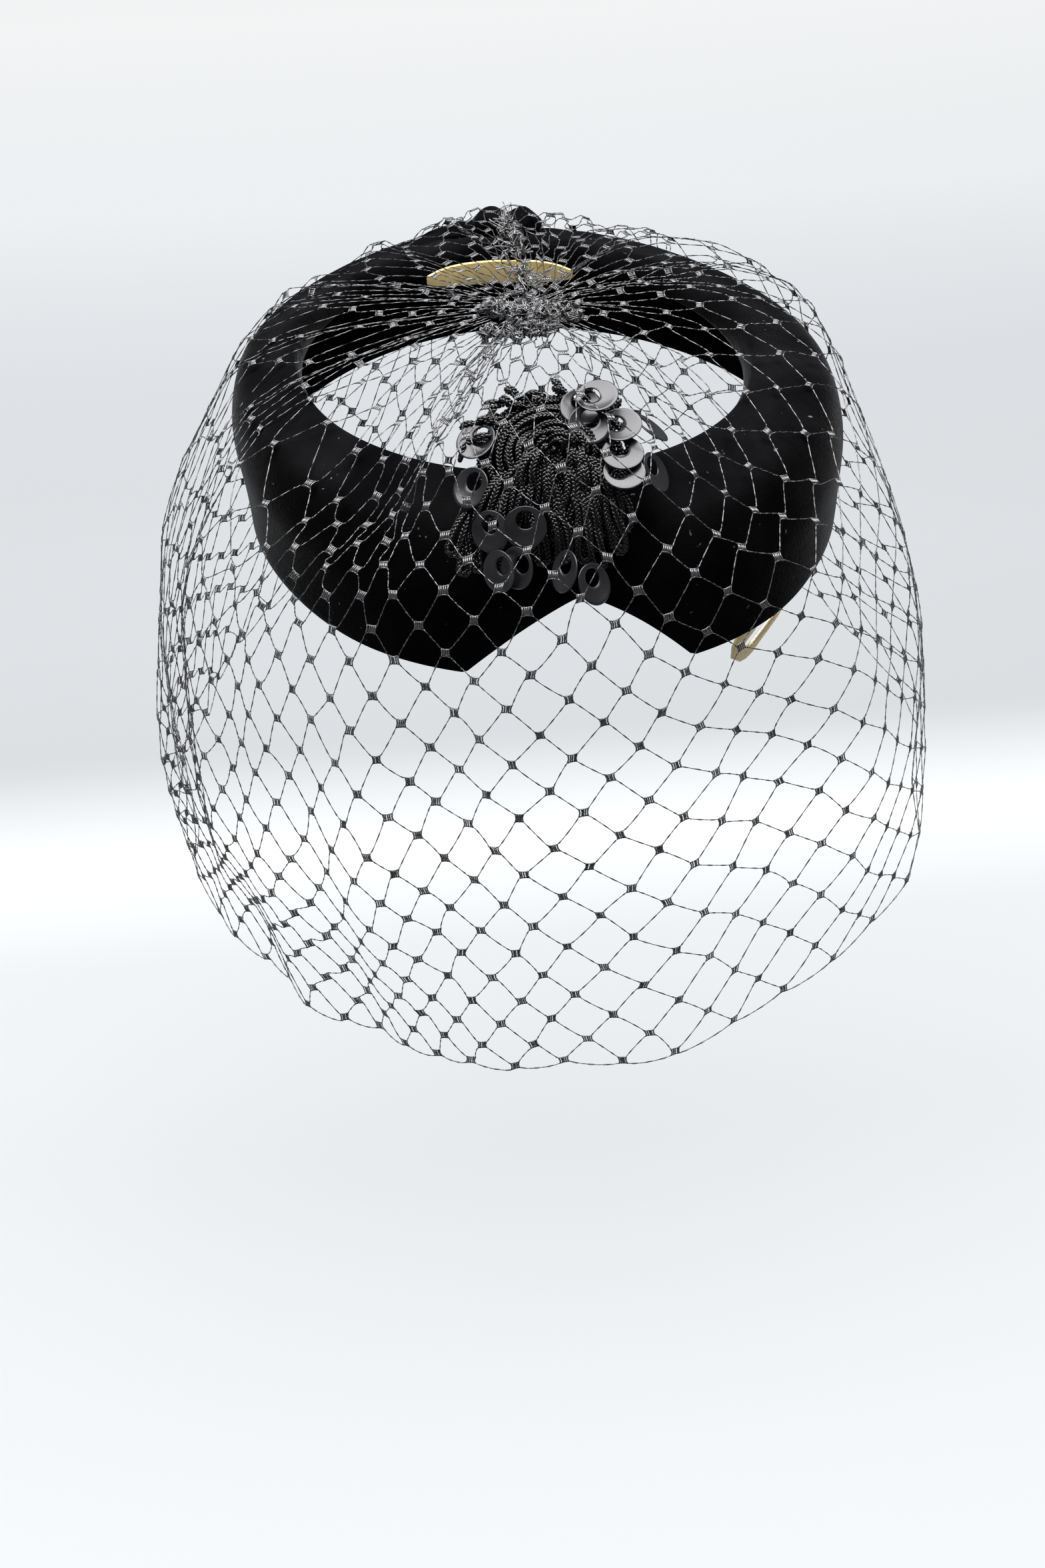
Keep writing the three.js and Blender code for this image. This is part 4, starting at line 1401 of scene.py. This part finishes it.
class HAT_OT_grips(bpy.types.Operator):
    """Fit the plastic hair grips"""

    bl_idname = "hat.grips"
    bl_label = "Grips"

    def execute(self, context):
        """Adds a rounded copy of each grip of the frame."""
        for node in ("back_grip", "side_grip"):
            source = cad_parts[node].data
            points = np.array([tuple(v.co) for v in source.vertices]) / MM
            faces = [list(face.vertices) for face in source.polygons]
            grip = add_mesh(node + "_plastic", points, faces, material("grip"),
                            [node])
            round_edges(grip)
        return {"FINISHED"}


def round_edges(piece):
    """Merges a faceted copy's points, then rounds its edges."""
    work = bmesh.new()
    work.from_mesh(piece.data)
    bmesh.ops.remove_doubles(work, verts=work.verts, dist=1e-6)
    bmesh.ops.dissolve_limit(work, angle_limit=math.radians(3), verts=work.verts, edges=work.edges)
    work.to_mesh(piece.data)
    work.free()
    bevel = piece.modifiers.new("rounding", "BEVEL")
    bevel.width = 0.0004
    bevel.segments = 3
    bevel.limit_method = "ANGLE"
    bevel.angle_limit = math.radians(50)
    apply_modifiers(piece)
    piece.data.shade_smooth()


class HAT_OT_veil(bpy.types.Operator):
    """Drape the birdcage veil over the hat"""

    bl_idname = "hat.veil"
    bl_label = "Veil"

    def execute(self, context):
        """Adds the threads, the knots and the gather of the net."""
        look = context.scene.hat.net
        surface = NetSurface(look)
        meshes = [*net_meshes(surface, look), gather_mesh(look), seam_mesh(surface, look)]
        for name, (points, faces) in zip(NET_PIECES, meshes):
            add_mesh(name, points, faces, material("net"), ["veil"])
        return {"FINISHED"}


class HAT_OT_stage(bpy.types.Operator):
    """Set the pale floor and the soft lights"""

    bl_idname = "hat.stage"
    bl_label = "Stage"

    def execute(self, context):
        """Adds the floor, the room's own light and the lights."""
        look = context.scene.hat.stage
        add_floor(look)
        add_room(look)
        add_light("overhead", look.key)
        add_light("front", look.fill)
        context.scene.view_settings.view_transform = "Standard"
        return {"FINISHED"}


def add_floor(look):
    """A wide round floor."""
    reach, rings, segments = 6.0, 12, 96
    radii = reach * np.linspace(0, 1, rings + 1)[1:] ** 1.6
    around = np.arange(segments) * 2 * np.pi / segments
    points = np.stack([radii[:, None] * np.cos(around), radii[:, None] * np.sin(around),
                       np.full((rings, segments), look.floor)], -1).reshape(-1, 3)
    mesh = bpy.data.meshes.new("floor")
    faces = grid_faces(rings, segments, wrap_columns=True) + [list(range(segments))]
    mesh.from_pydata(points.tolist(), [], faces)
    mesh.materials.append(stage_material())
    floor = bpy.data.objects.new("floor", mesh)
    bpy.context.scene.collection.objects.link(floor)


def add_room(look):
    """A dim room for the lights, which is pale where it is seen."""
    world = bpy.data.worlds.new("room")
    world.use_nodes = True
    tree = world.node_tree
    dim = tree.nodes["Background"]
    dim.inputs["Color"].default_value = (0.9, 0.95, 1, 1)
    dim.inputs["Strength"].default_value = look.room
    pale = tree.nodes.new("ShaderNodeBackground")
    pale.inputs["Color"].default_value = (*look.colour, 1)
    ray = tree.nodes.new("ShaderNodeLightPath")
    mix = tree.nodes.new("ShaderNodeMixShader")
    tree.links.new(ray.outputs["Is Camera Ray"], mix.inputs[0])
    tree.links.new(dim.outputs[0], mix.inputs[1])
    tree.links.new(pale.outputs[0], mix.inputs[2])
    tree.links.new(mix.outputs[0], tree.nodes["World Output"].inputs["Surface"])
    bpy.context.scene.world = world


def add_light(name, power):
    """A soft rectangular light."""
    place, aim, size = LIGHTS[name]
    data = bpy.data.lights.new(name, "AREA")
    data.shape = "RECTANGLE"
    data.size, data.size_y = size
    data.energy = power
    light = bpy.data.objects.new(name, data)
    light.location = place
    light.rotation_euler = (Vector(aim) - Vector(place)).to_track_quat("-Z", "Y").to_euler()
    bpy.context.scene.collection.objects.link(light)


MATERIALS = {}


def material(name):
    """The material of that name, made when it is first asked for."""
    settings = bpy.context.scene.hat
    makers = {
        "velvet": lambda: velvet_material(settings.velvet),
        "cord": lambda: cord_material(settings.cord),
        "paillette": lambda: disc_material(settings.paillette),
        "bead": bead_material,
        "grip": lambda: grip_material(settings.grip),
        "net": lambda: net_material(settings.net),
    }
    if name not in MATERIALS:
        MATERIALS[name] = makers[name]()
    return MATERIALS[name]


OPERATORS = [HAT_OT_camera, HAT_OT_velvet_ring, HAT_OT_back_knot, HAT_OT_cord_trim,
             HAT_OT_paillettes, HAT_OT_grips, HAT_OT_veil, HAT_OT_stage]


class HAT_PT_panel(bpy.types.Panel):
    """The hat's pieces in the sidebar"""

    bl_idname = "HAT_PT_panel"
    bl_label = "Velvet ring hat"
    bl_space_type = "VIEW_3D"
    bl_region_type = "UI"
    bl_category = "Hat"

    def draw(self, context):
        """Lists the operators."""
        for operator in OPERATORS:
            self.layout.operator(operator.bl_idname)


CLASSES = [HAT_PG_velvet, HAT_PG_cord, HAT_PG_paillette, HAT_PG_grip, HAT_PG_net, HAT_PG_stage,
           HAT_PG_settings, *OPERATORS, HAT_PT_panel]


def register():
    """Registers the classes and the settings."""
    for entry in CLASSES:
        bpy.utils.register_class(entry)
    bpy.types.Scene.hat = bpy.props.PointerProperty(type=HAT_PG_settings)


def unregister():
    """Takes them away again."""
    del bpy.types.Scene.hat
    for entry in reversed(CLASSES):
        bpy.utils.unregister_class(entry)


def main():
    """Makes the whole hat."""
    register()
    for operator in OPERATORS:
        getattr(bpy.ops.hat, operator.bl_idname.split(".")[1])()


if __name__ == "__main__":
    main()
